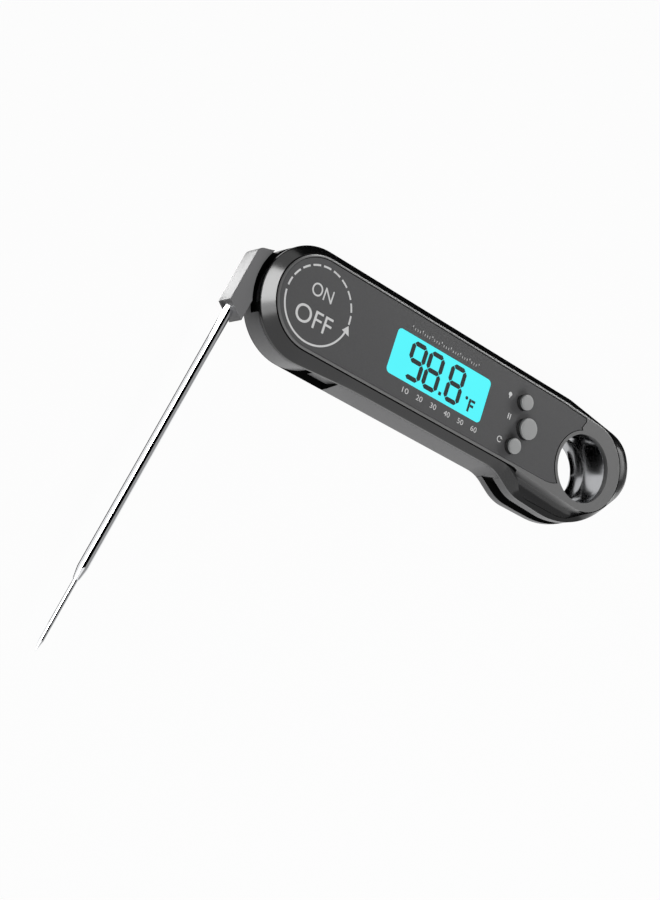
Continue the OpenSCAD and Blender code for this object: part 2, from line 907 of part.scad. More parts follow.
module friction_washer() {
    color("#9b9ea3")
        difference() {
            drill([0, 0], washer_r, split_z - fit - washer_t, split_z - fit);
            drill([0, 0], bore_r + 0.2, split_z - over, split_z + over);
        }
}

module board_lead() {
    low = split_z + fit;
    leg = board_x0 + 1;
    color("#d8d2c2") {
        slab(low, low + lead_t)
            translate([washer_r + fit, -lead_w / 2])
                square([leg - washer_r - fit + lead_t, lead_w]);
        slab(board_top, low + lead_t)
            translate([leg, -lead_w / 2])
                square([lead_t, lead_w]);
    }
}

// Outline of the block: a straight outer face, flared ends and one rounded corner
module block_plan() {
    corner = [-block_out, block_top];
    slope = [cos(block_flare), sin(block_flare)];
    reach = block_corner_r * tan((90 - block_flare) / 2);
    root = 9.2;
    polygon([
        [-block_out, -block_end],
        [-block_in, -block_end - block_w * tan(block_flare)],
        [-block_in, 0],
        corner + root * slope,
        corner + reach * slope,
        corner - [0, reach]
    ]);
    translate([block_corner_r - block_out, block_top - reach])
        circle(r = block_corner_r);
}

module probe_arm() {
    color("#707071")
        arm_frame()
            difference() {
                union() {
                    drill([0, 0], head_r, hub_z0, hub_z1);
                    slab(probe_z - block_t / 2, probe_z + block_t / 2)
                        block_plan();
                }
                drill([0, 0], bore_r, 0, body_t);
                drill([0, 0], washer_r + 0.3, split_z - fit - washer_t - fit, body_t);
                translate([-probe_offset, -socket_start, probe_z])
                    rotate([90, 0, 0])
                        cylinder(r = shaft_d / 2 + fit / 2, h = 2 * socket_l);
                translate([-probe_offset, -socket_start - lead_turn / 2, probe_z])
                    rotate([0, 90, 0])
                        cylinder(r = lead_hole_r, h = lead_reach + 1);
                translate([notch_at.x, notch_at.y, hub_z1 - notch_h])
                    rotate(45)
                        translate([-notch_w / 2, -notch_w / 2])
                            cube([notch_w, notch_w, notch_h + over]);
                drill([0, -magnet_ring], arm_magnet_r + fit, hub_z0 - over, hub_z0 + arm_magnet_t + fit);
            }
}

module probe_shaft() {
    color("#d9dadc")
        along_probe(shaft_start)
            rotate_extrude()
                polygon([
                    [shaft_bore_d / 2, 0],
                    [shaft_d / 2, 0],
                    [shaft_d / 2, taper_at - shaft_start],
                    [tip_d / 2 + 0.2, taper_at + taper_l - shaft_start],
                    [tip_d / 2 + fit / 2, taper_at + taper_l - shaft_start],
                    [tip_d / 2 + fit / 2, taper_at - shaft_start],
                    [shaft_bore_d / 2, taper_at - shaft_start - 1]
                ]);
}

module probe_tip() {
    start = taper_at + taper_l - tip_stem;
    length = probe_reach - start;
    color("#d9dadc")
        along_probe(start)
            rotate_extrude()
                polygon([
                    [tip_bore_d / 2, 0],
                    [tip_d / 2, 0],
                    [tip_d / 2, length - point_l],
                    [0, length],
                    [0, length - point_l - 1],
                    [tip_bore_d / 2, length - point_l - 1]
                ]);
}

module thermistor() {
    color("#2c3f66")
        along_probe(probe_reach - point_l - 1 - bead_l - fit)
            cylinder(r = tip_bore_d / 2 - fit, h = bead_l);
}

module sensor_lead() {
    start = socket_start + lead_turn / 2;
    color("#c2b280") {
        along_probe(start)
            cylinder(r = sensor_r, h = probe_reach - point_l - 1 - bead_l - 2 * fit - start);
        arm_frame()
            translate([-probe_offset, -start, probe_z])
                rotate([0, 90, 0])
                    cylinder(r = sensor_r, h = lead_reach);
    }
}

module arm_magnet() {
    color("#8e9196")
        arm_frame()
            drill([0, -magnet_ring], arm_magnet_r, hub_z0, hub_z0 + arm_magnet_t);
}

// Turn-to-lock cover with a sealed plug, two bayonet lugs and a coin slot
module battery_cover() {
    color("#4a4a4b")
        difference() {
            translate([cell_x, 0]) {
                drill([0, 0], cover_r, fit, fit + cover_t);
                drill([0, 0], plug_r, cover_t, plug_top);
                slab(plug_top - fit, plug_top + lug_t)
                    union() {
                        circle(r = plug_r - 1);
                        lug_plan(lug_half, 0);
                    }
            }
            translate([cell_x - coin_slot_l / 2, -coin_slot_w / 2, -over])
                cube([coin_slot_l, coin_slot_w, over + coin_slot_h]);
            translate([cell_x, 0, seal_z()])
                rotate_extrude()
                    translate([plug_r + cover_gap * 2 - fit - seal_r, 0])
                        square([2 * seal_r + 2 * fit, 2 * seal_r + 2 * fit], center = true);
        }
}

function seal_z() = (cover_t + collar_h) / 2 + 0.1;

module battery_seal() {
    color("#18181a")
        translate([cell_x, 0, seal_z()])
            rotate_extrude()
                translate([plug_r + cover_gap * 2 - fit - seal_r, 0])
                    circle(r = seal_r, $fn = 24);
}

rear_case();
front_case();
bezel();
face_plate();
lcd_window();
display_gasket();
lcd_glass();
lcd_backlight();
lcd_connectors();
circuit_board();
controller_chip();
reed_switch();
tact_switches();
cell_holder();
coin_cell();
battery_contact_pos();
battery_contact_neg();
back_magnets();
case_screws();
board_screws();
hang_ring();
pivot_sleeve();
pivot_screw();
friction_washer();
board_lead();
light_button();
hold_button();
cal_button();
battery_cover();
battery_seal();
probe_arm();
probe_shaft();
probe_tip();
thermistor();
sensor_lead();
arm_magnet();
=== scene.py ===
"""Folding probe thermometer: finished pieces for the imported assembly, and a plain studio to show them in."""

import math
from functools import partial
from types import SimpleNamespace

import bmesh
import bpy
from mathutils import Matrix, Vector


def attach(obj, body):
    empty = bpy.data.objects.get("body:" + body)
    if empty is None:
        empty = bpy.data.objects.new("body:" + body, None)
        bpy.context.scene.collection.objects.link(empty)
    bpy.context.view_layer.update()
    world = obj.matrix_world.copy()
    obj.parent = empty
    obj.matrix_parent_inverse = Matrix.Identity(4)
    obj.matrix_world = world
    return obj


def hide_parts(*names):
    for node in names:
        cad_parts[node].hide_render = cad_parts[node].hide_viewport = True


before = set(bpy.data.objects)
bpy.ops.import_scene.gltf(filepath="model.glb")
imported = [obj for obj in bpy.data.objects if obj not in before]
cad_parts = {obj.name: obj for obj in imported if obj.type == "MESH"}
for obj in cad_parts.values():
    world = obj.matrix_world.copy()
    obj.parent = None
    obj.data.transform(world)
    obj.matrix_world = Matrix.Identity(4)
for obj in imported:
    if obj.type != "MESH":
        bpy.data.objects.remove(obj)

bl_info = {
    "name": "Folding Probe Thermometer",
    "version": (1, 0, 0),
    "blender": (4, 5, 0),
    "location": "View3D > Sidebar > Thermometer",
    "description": "Models a folding probe thermometer piece by piece and sets up a plain studio",
    "category": "Add Mesh",
}

FACE_UP = (0.0, 0.0, 1.0)
# Points along one arc of an outline, and round a circle
ARC_STEPS = 40
ROUND = 64

# Millimetres: how far a tool that cuts right through reaches sideways, past the tail and up, the clearance of
# a seat, and half the thickness of a print and of a display segment
BEYOND = 60
FAR = 200
ABOVE = 30
FIT = 0.05
PRINT_T = 0.005
SEGMENT_T = 0.02

# The front case's band as shares of its width and height: a flat slope with small round edges at the sides,
# a full round at the tail
SIDE_BAND = ((0, 0), (0.02, 0.05), (0.07, 0.12), (0.3, 0.34), (0.55, 0.575), (0.8, 0.81), (1, 1))
TAIL_BAND = tuple((1 - math.cos(math.radians(a)), math.sin(math.radians(a))) for a in range(0, 91, 15))
# How far the band has sunk to the lobe's at the start and the end of the hollow, near and far arcs, by their
# number in the case's outline, and the number of the tail's arc
LOBE_RAMP = {2: (-0.25, 0.375), 3: (0.375, 1.0), 4: (2.0, 0.0)}
TAIL_ARC = 5
# The scooped zone as shares of its height and width: a flat floor that turns up to the face
SCOOP = ((0, 0), (0.01, 0.3), (0.04, 0.5), (0.1, 0.63), (0.22, 0.75), (0.4, 0.84), (0.6, 0.9), (0.8, 0.955),
         (1, 1))

# Millimetres: the plan of the space inside the case, and the places of the case's screws and of the buttons
CAVITY = ((21.5, -12.6), (28, -15.2), (98, -13.6), (104.6, -13.6), (104.6, 14.2), (28, 16.2), (21.5, 12.6))
SCREWS = ((25.5, 10.5), (25.5, -10.5), (103, 10), (103, -9.6))
KEYS = {"light_button": (87.73, 6.68), "hold_button": (91.53, -1.33), "cal_button": (87.83, -9.1)}
# The notch between the block and the hub, as distances across from the hinge and along the probe in
# millimetres, and the angles of the groove beside the block in degrees
NOTCH = ((13.0, 12.0), (16.5, 8.3), (17.3, 12.8))
GROOVE = range(112, 201, 2)

# Millimetres: the display's level and upright segments, each with its length, angle and places by letter, and
# the place and the lit segments of each figure
SEGMENTS = (
    (5.05, 0, {"a": (0, 5.76), "g": (0, 0.03), "d": (0, -5.7)}),
    (5.45, math.pi / 2, {"f": (-2.66, 2.9), "b": (2.66, 2.9), "e": (-2.66, -2.83), "c": (2.66, -2.83)}),
)
FIGURES = ((41.15, "abcdfg"), (48.67, "abcdefg"), (58.5, "abcdefg"))

# Metres: the middle of the object and of its head, and the studio's cards with their name, place, target,
# width, height and glow; a card without a target lies just over the floor and looks up
MIDDLE = (0.06, -0.02, 0.01)
HEAD = (0, 0, 0.015)
CARD_Z = 0.0006
CARDS = (
    ("upper_flag", (0.55, 0.5, 0.1), (0.55, 0, 0.1), 1.3, 0.4, 0.0),
    ("floor_flag", (0.55, 0.28, CARD_Z), None, 1.3, 0.515, 0.0),
    ("high_flag", (-0.43, 0.475, 1.0), (-0.43, 0.475, 0), 1.64, 1.05, 0.0),
    ("far_card", (0.95, 0.25, 0.75), MIDDLE, 1.6, 1.7, 0.35),
    ("hole_flag", (0.124, -0.007, CARD_Z), None, 0.014, 0.012, 0.0),
    ("neck_flag", (0.1291, 0.0018, CARD_Z), None, 0.0058, 0.0054, 0.0),
    ("probe_strip", (-0.0368, -0.061, CARD_Z), None, 0.009, 0.115, 0.0),
    ("block_card", (-0.036, 0.006, CARD_Z), None, 0.022, 0.034, 7.5),
    ("head_card", (-0.58, 0.15, 0.37), HEAD, 0.7, 0.35, 13.0),
    ("head_fade", (-0.55, -0.24, 0.37), HEAD, 0.22, 0.35, 5.0),
    ("rim_card", (0.47, 0.7, 0.45), MIDDLE, 0.72, 0.35, 10.0),
    ("tail_card", (0.9, 0.46, 0.45), MIDDLE, 0.3, 0.35, 3.0),
)
# The photo's camera: its place in metres, turn in degrees, and focal length and film height in millimetres
EYE = (-0.24894, -0.17307, 0.4336)
EYE_TURN = (2.80207, -35.76489, 21.60612)
LENS, FILM_H = 44.642, 24

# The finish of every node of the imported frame
NODE_FINISHES = {
    "rubber": ("display_gasket", "battery_seal"),
    "lcd": ("lcd_glass",),
    "light_guide": ("lcd_backlight",),
    "board": ("circuit_board",),
    "black_plastic": ("controller_chip", "tact_switches", "lcd_connectors", "thermistor", "sensor_lead"),
    "white_plastic": ("cell_holder", "reed_switch"),
    "cell_steel": ("coin_cell", "battery_contact_pos", "battery_contact_neg", "friction_washer"),
    "brass": ("pivot_sleeve",),
    "magnet": ("back_magnets", "arm_magnet"),
    "screw_steel": ("case_screws", "board_screws", "pivot_screw"),
    "lead_film": ("board_lead",),
    "polished_steel": ("probe_shaft", "probe_tip"),
    "case_plastic": ("front_case",),
    "body_plastic": ("rear_case", "battery_cover"),
    "bezel_plastic": ("bezel",),
    "face_film": ("face_plate",),
    "window": ("lcd_window",),
    "black_gloss": ("hang_ring",),
    "button_plastic": ("light_button", "hold_button", "cal_button"),
    "arm_plastic": ("probe_arm",),
}


# Property helpers

def to_linear(code):
    """Linear colour of an sRGB hex code."""
    parts = [int(code[i:i + 2], 16) / 255 for i in (1, 3, 5)]
    return tuple(p / 12.92 if p <= 0.04045 else ((p + 0.055) / 1.055) ** 2.4 for p in parts)


def length(note, millimetres):
    """A length property, given in millimetres and held in metres."""
    return bpy.props.FloatProperty(
        name=note, default=millimetres / 1000, unit="LENGTH", subtype="DISTANCE", precision=5)


def arc(note, x, y, radius):
    """An arc's place and radius as one property, given in millimetres and held in metres."""
    return bpy.props.FloatVectorProperty(
        name=note, default=(x / 1000, y / 1000, radius / 1000), size=3, unit="LENGTH", precision=5)


def tilt(note, degrees):
    """An angle property, given in degrees and held in radians."""
    return bpy.props.FloatProperty(
        name=note, default=math.radians(degrees), unit="ROTATION", subtype="ANGLE")


def colour(note, code):
    """A colour property, given as an sRGB hex code and held as linear values."""
    return bpy.props.FloatVectorProperty(
        name=note, default=to_linear(code), size=3, min=0, max=1, subtype="COLOR")


class CaseSizes(bpy.types.PropertyGroup):
    head_r: length("Radius of the round head and of the arm's hub", 19)
    plate_t: length("Thickness of the rear plate under the hub", 4.6)
    split_z: length("Height of the joint between the rear and the front case", 13)
    band_top: length("Height of the front case's inner edge", 17.7)
    band_h: length("Height of the front case's sloped band", 3.5)
    tail_band_h: length("Height of the rounded band round the tail", 4.0)
    tail: arc("Place and radius of the tail's end", 130.9, 1.85, 13.74)
    waist_front: length("Half width of the front case at the waist", 17.5)
    waist_x: length("Place where the front case's lower side starts to run level", 30)
    waist_r: length("Radius of the slow curve from the head into the lower side", 200)
    crest: arc("Place and radius of the crest, where the upper side bends to the tail", 109, 0, 18.25)
    lobe_low: length("Drop of the lobe's lower edge below the long axis", 24.8)
    near_lean: length("Lean of the lobe's near side from the plate to the split", 1.5)
    far_lean: length("Lean of the lobe's far side from the plate to the split", 0.8)
    near_x: length("Place of the lobe's near arc along the case", 101.5)
    near_r: length("Radius of the lobe's near arc", 16)
    far_x: length("Place of the lobe's far arc along the case", 112.4)
    far_r: length("Radius of the lobe's far arc", 32)
    hollow_r: length("Radius of the hollow curve before the lobe", 14)
    lobe_top: length("Height of the front case's inner edge along the lobe", 14.6)
    back_t: length("Thickness of the back wall", 1.6)
    back_bevel_w: length("Width of the bevel round the back", 3.4)
    slot_floor: length("Distance of the probe slot's floor from the long axis", 19.4)
    slot_low: length("Height of the probe slot's lower side", 6.9)
    slot_high: length("Height of the probe slot's upper side", 10.7)
    horn_x: length("Start of the rear case's side behind the hub", 10.5)
    pocket_x: length("End of the pocket for the folded block", 18.67)
    block_gap: length("Distance of the pocket's floor from the long axis", 17.25)
    swing_r: length("Radius of the space for the hub", 19.35)
    cell_x: length("Place of the battery cover along the case", 52)
    cover_r: length("Radius of the battery cover", 12.9)
    cover_sink: length("Depth of the seat of the battery cover", 1.2)
    plug_r: length("Radius of the battery cover's plug", 11.2)
    plug_sink: length("Depth of the opening for the plug", 4)
    seal_r: length("Radius of the plug in the groove of its seal", 10.4)
    coin_l: length("Length of the coin slot", 14)
    coin_w: length("Width of the coin slot", 1.8)
    coin_sink: length("Height of the coin slot's floor", 0.75)
    ledge_w: length("Depth of the pocket under the slot, behind the pocket's floor", 2.65)
    post_r: length("Radius of the pivot's post", 3.2)
    pivot_head_r: length("Radius of the recess for the pivot screw's head", 3.1)
    pivot_head_z: length("Height of the floor of the recess for the pivot screw's head", 15)
    pivot_hole_r: length("Radius of the hole for the pivot screw", 1.3)
    screw_r: length("Radius of the recess for a case screw's head", 2.2)
    screw_sink: length("Depth of the recess for a case screw's head", 4)


class FaceSizes(bpy.types.PropertyGroup):
    deck_low: length("Height of the underside of the front case's deck", 16)
    deck_z: length("Height of the deck under the face plate", 16.8)
    face_z: length("Height of the face plate's top", 17.8)
    rim_z: length("Height of the bezel's rim", 18)
    zone_z: length("Height of the bezel's underside in the tail zone", 13.4)
    zone_t: length("Thickness of the floor of the tail zone", 0.5)
    zone_x: length("Start of the front case's deeper recess under the tail zone", 88)
    lead_r: length("Radius of the scoop's upper edge where the tail zone starts", 2)
    head: arc("Place and radius of the bezel round the head", 0, 0.4, 15.4)
    end: arc("Place and radius of the face's end", 105.4, 0.2, 15)
    rim_w: length("Width of the bezel's rim", 1.0)
    seam: length("Width of the seam round the bezel", 0.4)
    scoop: arc("Place and radius of the scooped edge", 104.8, -9.9, 11.7)
    lip: arc("Place and radius of the zone's lip", 117.5, -8.5, 13.1)
    bezel_end: arc("Place and radius of the bezel's end", 122.6, -1.7, 15.9)
    hollow_side: length("Half width of the bezel before the scoop", 14.9)
    hollow_r: length("Radius of the bezel's hollow curve", 5)
    hole: arc("Place and radius of the hang hole", 121, -3.2, 11.9)
    ring_w: length("Width of the bezel's ring round the hang hole", 1.4)
    liner_r: length("Outer radius of the hang hole's liner", 12.9)
    liner_low: length("Height of the liner's lower end", 0.3)
    liner_top: length("Height of the liner's upper end", 16.05)
    neck_r: length("Radius of the liner's neck", 10.6)
    neck_z: length("Height of the liner's neck", 5.3)
    stop: arc("Place and radius of the bezel's upper corner", 115.9, 12.7, 1.9)
    stop_l: length("Distance of the corner's start before the face's end arc", 10)
    lcd_x: length("Place of the display along the case", 51.7)
    lcd_w: length("Width of the display window", 41.6)
    lcd_h: length("Height of the display window", 15.4)
    lcd_corner: length("Corner radius of the display window", 1.6)
    key_top: length("Height of the buttons' tops", 20.3)
    key_gap: length("Clearance round a button", 0.3)
    small_r: length("Radius of the small buttons", 2.4)
    large_r: length("Radius of the large button", 3.4)
    print_r: length("Radius of the printed circle", 12.5)
    print_w: length("Width of the printed circle's line", 0.62)
    segment_w: length("Width of a display segment", 1.6)


class ProbeSizes(bpy.types.PropertyGroup):
    lean: tilt("Lean of the probe from square to the case", 10.6)
    flare: tilt("Flare of the block's ends", 26)
    offset: length("Distance from the hinge axis to the probe's axis", 21.4)
    axis_z: length("Height of the probe's axis", 8.8)
    hub_low: length("Height of the hub's underside", 4.8)
    hub_high: length("Height of the hub's top", 12.8)
    bore_r: length("Radius of the hub's bore", 4.55)
    washer_r: length("Radius of the recess for the friction washer", 8.3)
    washer_z: length("Height of the washer recess's floor", 12.2)
    block_low: length("Height of the block's underside", 5.3)
    block_high: length("Height of the block's top", 12.3)
    block_out: length("Distance from the hinge to the block's outer face", 24.3)
    block_in: length("Distance from the hinge to the block's inner face", 17.6)
    block_end: length("Distance from the hinge to the outer face's probe end", 14.7)
    block_top: length("Distance from the hinge to the outer face's far end", 5)
    block_side: length("Length of the block's flared far end", 9.2)
    corner_r: length("Rounding of the block's far corner", 3)
    notch_h: length("Depth of the notch beside the block", 4)
    groove_w: length("Width of the groove between the block and the front case", 1.6)
    groove_in: length("Depth of the groove into the hub's side", 1.5)
    groove_h: length("Depth of the groove between the block and the front case", 3.2)
    socket_start: length("Distance from the hinge to the inner end of the shaft's socket", 3)
    socket_end: length("Distance from the hinge to where the socket's tool ends, outside the block", 40)
    shaft_r: length("Radius of the probe's shaft", 1.6)
    tip_r: length("Radius of the probe's thin tip", 0.75)
    shaft_start: length("Distance from the hinge to the shaft's inner end", 5.12)
    taper_at: length("Distance from the hinge to the start of the taper", 107.5)
    taper_end: length("Distance from the hinge to the end of the taper", 111.1)
    reach: length("Distance from the hinge to the probe's point", 134.2)
    point_l: length("Length of the sharpened point", 3.4)


class FinishColours(bpy.types.PropertyGroup):
    case: colour("Charcoal ABS of the front case", "#141415")
    body: colour("Grey ABS of the rear case", "#575758")
    arm: colour("Grey ABS of the probe's arm", "#707071")
    bezel: colour("Lighter grey of the bezel", "#6d6d6d")
    face: colour("Dark film of the face plate", "#444445")
    key: colour("Grey of the buttons", "#8e8f8f")
    # On the buttons' side walls this black is painted shade
    skirt: colour("Black of the buttons' skirts, seals and gaskets", "#131314")
    liner: colour("Dark plating of the hang hole's liner", "#b0b1b3")
    ink: colour("Pale printing ink", "#cfcfcf")
    lamp: colour("Cyan of the lit display", "#5cf7ff")
    segment: colour("Dark segments of the display", "#192020")
    steel: colour("Polished stainless steel", "#e4e5e7")
    floor: colour("Pale floor of the studio", "#bcbcbc")


GROUPS = {
    "thermo_case": CaseSizes,
    "thermo_face": FaceSizes,
    "thermo_probe": ProbeSizes,
    "thermo_finish": FinishColours,
}


def mm(group):
    """The sizes of a property group by name: lengths and arcs in millimetres, angles in radians."""
    sizes = SimpleNamespace()
    for name in group.__annotations__:
        value = getattr(group, name)
        scale = 1000 if group.bl_rna.properties[name].unit == "LENGTH" else 1
        setattr(sizes, name, scale * value if isinstance(value, float) else tuple(scale * v for v in value))
    return sizes


# Plan curves, in millimetres

def tangent(a, b):
    """Angle of the outward normal of the line that joins two arcs, run counter-clockwise."""
    apart = math.hypot(b[0] - a[0], b[1] - a[1])
    return math.atan2(b[1] - a[1], b[0] - a[0]) - math.acos((a[2] - b[2]) / apart)


def outline(arcs, grow=0.0, steps=ARC_STEPS):
    """Points of a belt round [x, y, radius] arcs; an arc of negative radius is hollow."""
    arcs = [(x, y, r + grow) for x, y, r in arcs]
    points = []
    for i, arc in enumerate(arcs):
        start = tangent(arcs[i - 1], arc)
        side = math.copysign(1, arc[2])
        turn = side * ((side * (tangent(arc, arcs[(i + 1) % len(arcs)]) - start) + 1e-9) % math.tau)
        for k in range(steps + 1):
            angle = start + turn * k / steps
            points.append((arc[0] + arc[2] * math.cos(angle), arc[1] + arc[2] * math.sin(angle)))
    return points


def foot(point, points):
    """The nearest place to a point on a closed line of points."""
    feet = []
    for a, b in zip(points, points[1:] + points[:1]):
        start, run = Vector(a), Vector(b) - Vector(a)
        share = (point - start).dot(run) / run.length_squared if run.length_squared > 1e-12 else 0.0
        feet.append(start + run * min(1.0, max(0.0, share)))
    return min(feet, key=lambda at: (at - point).length)


def hollow(side, lobe, radius):
    """The hollow arc between a straight lower side and a lobe's arc."""
    # A short straight run joins the two arcs
    apart = radius + lobe[2] + 0.3
    drop = side + radius + lobe[1]
    return (lobe[0] - math.sqrt(apart * apart - drop * drop), -side - radius, -radius)


def circle(at, radius, count=ROUND):
    """Points round a circle."""
    turns = [math.tau * k / count for k in range(count)]
    return [(at[0] + radius * math.cos(t), at[1] + radius * math.sin(t)) for t in turns]


def box_plan(x0, y0, x1, y1):
    """Corners of a rectangle."""
    return [(x0, y0), (x1, y0), (x1, y1), (x0, y1)]


def rounded(at, width, height, radius):
    """Points of a rectangle with round corners."""
    x, y = width / 2 - radius, height / 2 - radius
    arcs = [(at[0] + sx * x, at[1] + sy * y, radius) for sx, sy in ((-1, -1), (1, -1), (1, 1), (-1, 1))]
    return outline(arcs, steps=8)


def case_plan(case, part):
    """Arcs of the case's outline, from the plate (0) to the split (1): the lower side and lobe lean in."""
    side = case.head_r + (case.waist_front - case.head_r) * part
    waist = (case.waist_x, -side - case.waist_r, -case.waist_r)
    near = (case.near_x, case.near_r - case.lobe_low + case.near_lean * part, case.near_r)
    far = (case.far_x, case.far_r - case.lobe_low + case.far_lean * part, case.far_r)
    return [(0, 0, case.head_r), waist, hollow(side, near, case.hollow_r), near, far, case.tail, case.crest]


def wall_plan(case, inset, z):
    """Outline of the case's wall at a height: its lower side leans in from the plate to the split."""
    part = min(1.0, max(0.0, (z - case.plate_t) / (case.split_z - case.plate_t)))
    return outline(case_plan(case, part), -inset)


def bezel_plan(face):
    """Arcs of the bezel's outline."""
    lead = hollow(face.hollow_side, face.scoop, face.hollow_r)
    return [face.head, lead, face.scoop, face.lip, face.bezel_end, face.end]


# Modelling helpers

def pick(*objs):
    """Leaves only these objects selected, the first one active."""
    bpy.ops.object.select_all(action="DESELECT")
    for obj in objs:
        obj.select_set(True)
    bpy.context.view_layer.objects.active = objs[0]


def loft(name, rings):
    """A solid through rings of points: a disc set on the first ring and extruded from ring to ring."""
    bpy.ops.object.select_all(action="DESELECT")
    bpy.ops.mesh.primitive_circle_add(vertices=len(rings[0]), fill_type="NGON")
    obj = bpy.context.object
    obj.name = name
    bpy.ops.object.mode_set(mode="EDIT")
    bpy.ops.mesh.select_all(action="SELECT")
    ids = list(range(len(rings[0])))
    for level, ring in enumerate(rings):
        if level:
            bpy.ops.mesh.extrude_region_move()
        mesh = bmesh.from_edit_mesh(obj.data)
        mesh.verts.ensure_lookup_table()
        if level:
            linked = [[e.other_vert(mesh.verts[i]) for e in mesh.verts[i].link_edges] for i in ids]
            ids = [next(v.index for v in row if v.select) for row in linked]
        for i, point in zip(ids, ring):
            mesh.verts[i].co = point
        bmesh.update_edit_mesh(obj.data)
    bpy.ops.mesh.select_all(action="SELECT")
    bpy.ops.mesh.normals_make_consistent(inside=False)
    bpy.ops.object.mode_set(mode="OBJECT")
    return obj


def levels(plan, profile):
    """Rings of one plan at [inset, height] steps; the plan is a function of the inset and the height."""
    return [[(x, y, z) for x, y in plan(inset, z)] for inset, z in profile]


def prism(name, points, low, high):
    """An upright solid on a plan."""
    return loft(name, [[(x, y, z) for x, y in points] for z in (low, high)])


def cut(points, low, high):
    """A tool that takes a plan away between two heights."""
    return prism("cut", points, low, high)


def mark(name, points, z, half=PRINT_T):
    """A thin print or display mark on a plan, about a height."""
    return prism(name, points, z - half, z + half)


def lathe(name, at, profile, count=ROUND):
    """An upright turned solid through [radius, height] steps."""
    return loft(name, [[(x, y, z) for x, y in circle(at, r, count)] for r, z in profile])


def spun(name, at, profile, count=96):
    """A turned ring: a closed [radius, height] profile spun about an upright axis."""
    bpy.ops.object.select_all(action="DESELECT")
    bpy.ops.mesh.primitive_circle_add(vertices=len(profile), fill_type="NOTHING")
    obj = bpy.context.object
    obj.name = name
    for vertex, (r, z) in zip(obj.data.vertices, profile):
        vertex.co = (at[0] + r, at[1], z)
    bpy.ops.object.mode_set(mode="EDIT")
    bpy.ops.mesh.select_all(action="SELECT")
    bpy.ops.mesh.spin(steps=count, angle=math.tau, center=(*at[:2], 0), axis=FACE_UP)
    bpy.ops.mesh.select_all(action="SELECT")
    bpy.ops.mesh.remove_doubles(threshold=0.001)
    bpy.ops.mesh.normals_make_consistent(inside=False)
    bpy.ops.object.mode_set(mode="OBJECT")
    return obj


def combine(obj, operation, *tools):
    """Applies boolean tools to a piece and removes them."""
    for tool in tools:
        pick(obj)
        modifier = obj.modifiers.new("combine", "BOOLEAN")
        modifier.object = tool
        modifier.operation = operation
        modifier.solver = "EXACT"
        bpy.ops.object.modifier_apply(modifier=modifier.name)
        bpy.data.objects.remove(tool)
    if not obj.data.polygons:
        raise RuntimeError(f"{obj.name} is empty after a boolean")
    return obj


def soften(obj, width, segments=2, angle=35):
    """Rounds the sharp edges of a piece."""
    pick(obj)
    modifier = obj.modifiers.new("soften", "BEVEL")
    modifier.width = width
    modifier.segments = segments
    modifier.limit_method = "ANGLE"
    modifier.angle_limit = math.radians(angle)
    bpy.ops.object.modifier_apply(modifier=modifier.name)
    return obj


def join(name, objs):
    """Joins objects into one piece."""
    pick(*objs)
    bpy.ops.object.join()
    obj = bpy.context.object
    obj.name = name
    bpy.ops.object.transform_apply(location=True, rotation=True, scale=True)
    return obj


def copies(pattern, places):
    """Copies of one modelled shape at [x, y, angle] places, each with its own mesh; the pattern goes."""
    made = []
    for x, y, angle in places:
        twin = pattern.copy()
        twin.data = pattern.data.copy()
        twin.location = (x, y, 0)
        twin.rotation_euler = (0, 0, angle)
        bpy.context.collection.objects.link(twin)
        made.append(twin)
    bpy.data.objects.remove(pattern)
    return made


def settle(obj, finish, body, slot, *nodes, angle=30):
    """Cleans a piece, brings it from millimetres to metres and hangs it on its body."""
    pick(obj)
    bpy.ops.object.mode_set(mode="EDIT")
    bpy.ops.mesh.select_all(action="SELECT")
    bpy.ops.mesh.remove_doubles(threshold=0.0005)
    bpy.ops.mesh.normals_make_consistent(inside=False)
    bpy.ops.object.mode_set(mode="OBJECT")
    obj.scale = (0.001, 0.001, 0.001)
    bpy.ops.object.transform_apply(location=True, rotation=True, scale=True)
    bpy.ops.object.shade_smooth_by_angle(angle=math.radians(angle))
    modifier = obj.modifiers.new("flat_faces", "WEIGHTED_NORMAL")
    modifier.keep_sharp = True
    bpy.ops.object.modifier_apply(modifier=modifier.name)
    if not obj.data.materials:
        obj.data.materials.append(finish)
    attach(obj, body)
    if nodes:
        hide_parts(*nodes)
    return obj


# Materials

def line(obj, finish, lining, inside):
    """Gives a piece its finish, and another one to the faces whose middle passes a test."""
    obj.data.materials.clear()
    obj.data.materials.append(finish)
    obj.data.materials.append(lining)
    for polygon in obj.data.polygons:
        polygon.material_index = int(inside(polygon.center, polygon.normal))


def node(tree, kind, sockets=None, **settings):
    """Adds a node with its settings; a socket's value is a constant or another node's output."""
    made = tree.nodes.new(kind)
    for key, value in settings.items():
        setattr(made, key, value)
    for key, value in (sockets or {}).items():
        if isinstance(value, bpy.types.NodeSocket):
            tree.links.new(value, made.inputs[key])
        else:
            made.inputs[key].default_value = value
    return made


def blank(name):
    """A new material, its tree and its shader."""
    material = bpy.data.materials.new(name)
    material.use_nodes = True
    return material, material.node_tree, material.node_tree.nodes["Principled BSDF"]


def rgba(values, gain=1.0):
    """A colour with alpha, made lighter or darker."""
    return tuple(min(1.0, v * gain) for v in values) + (1.0,)


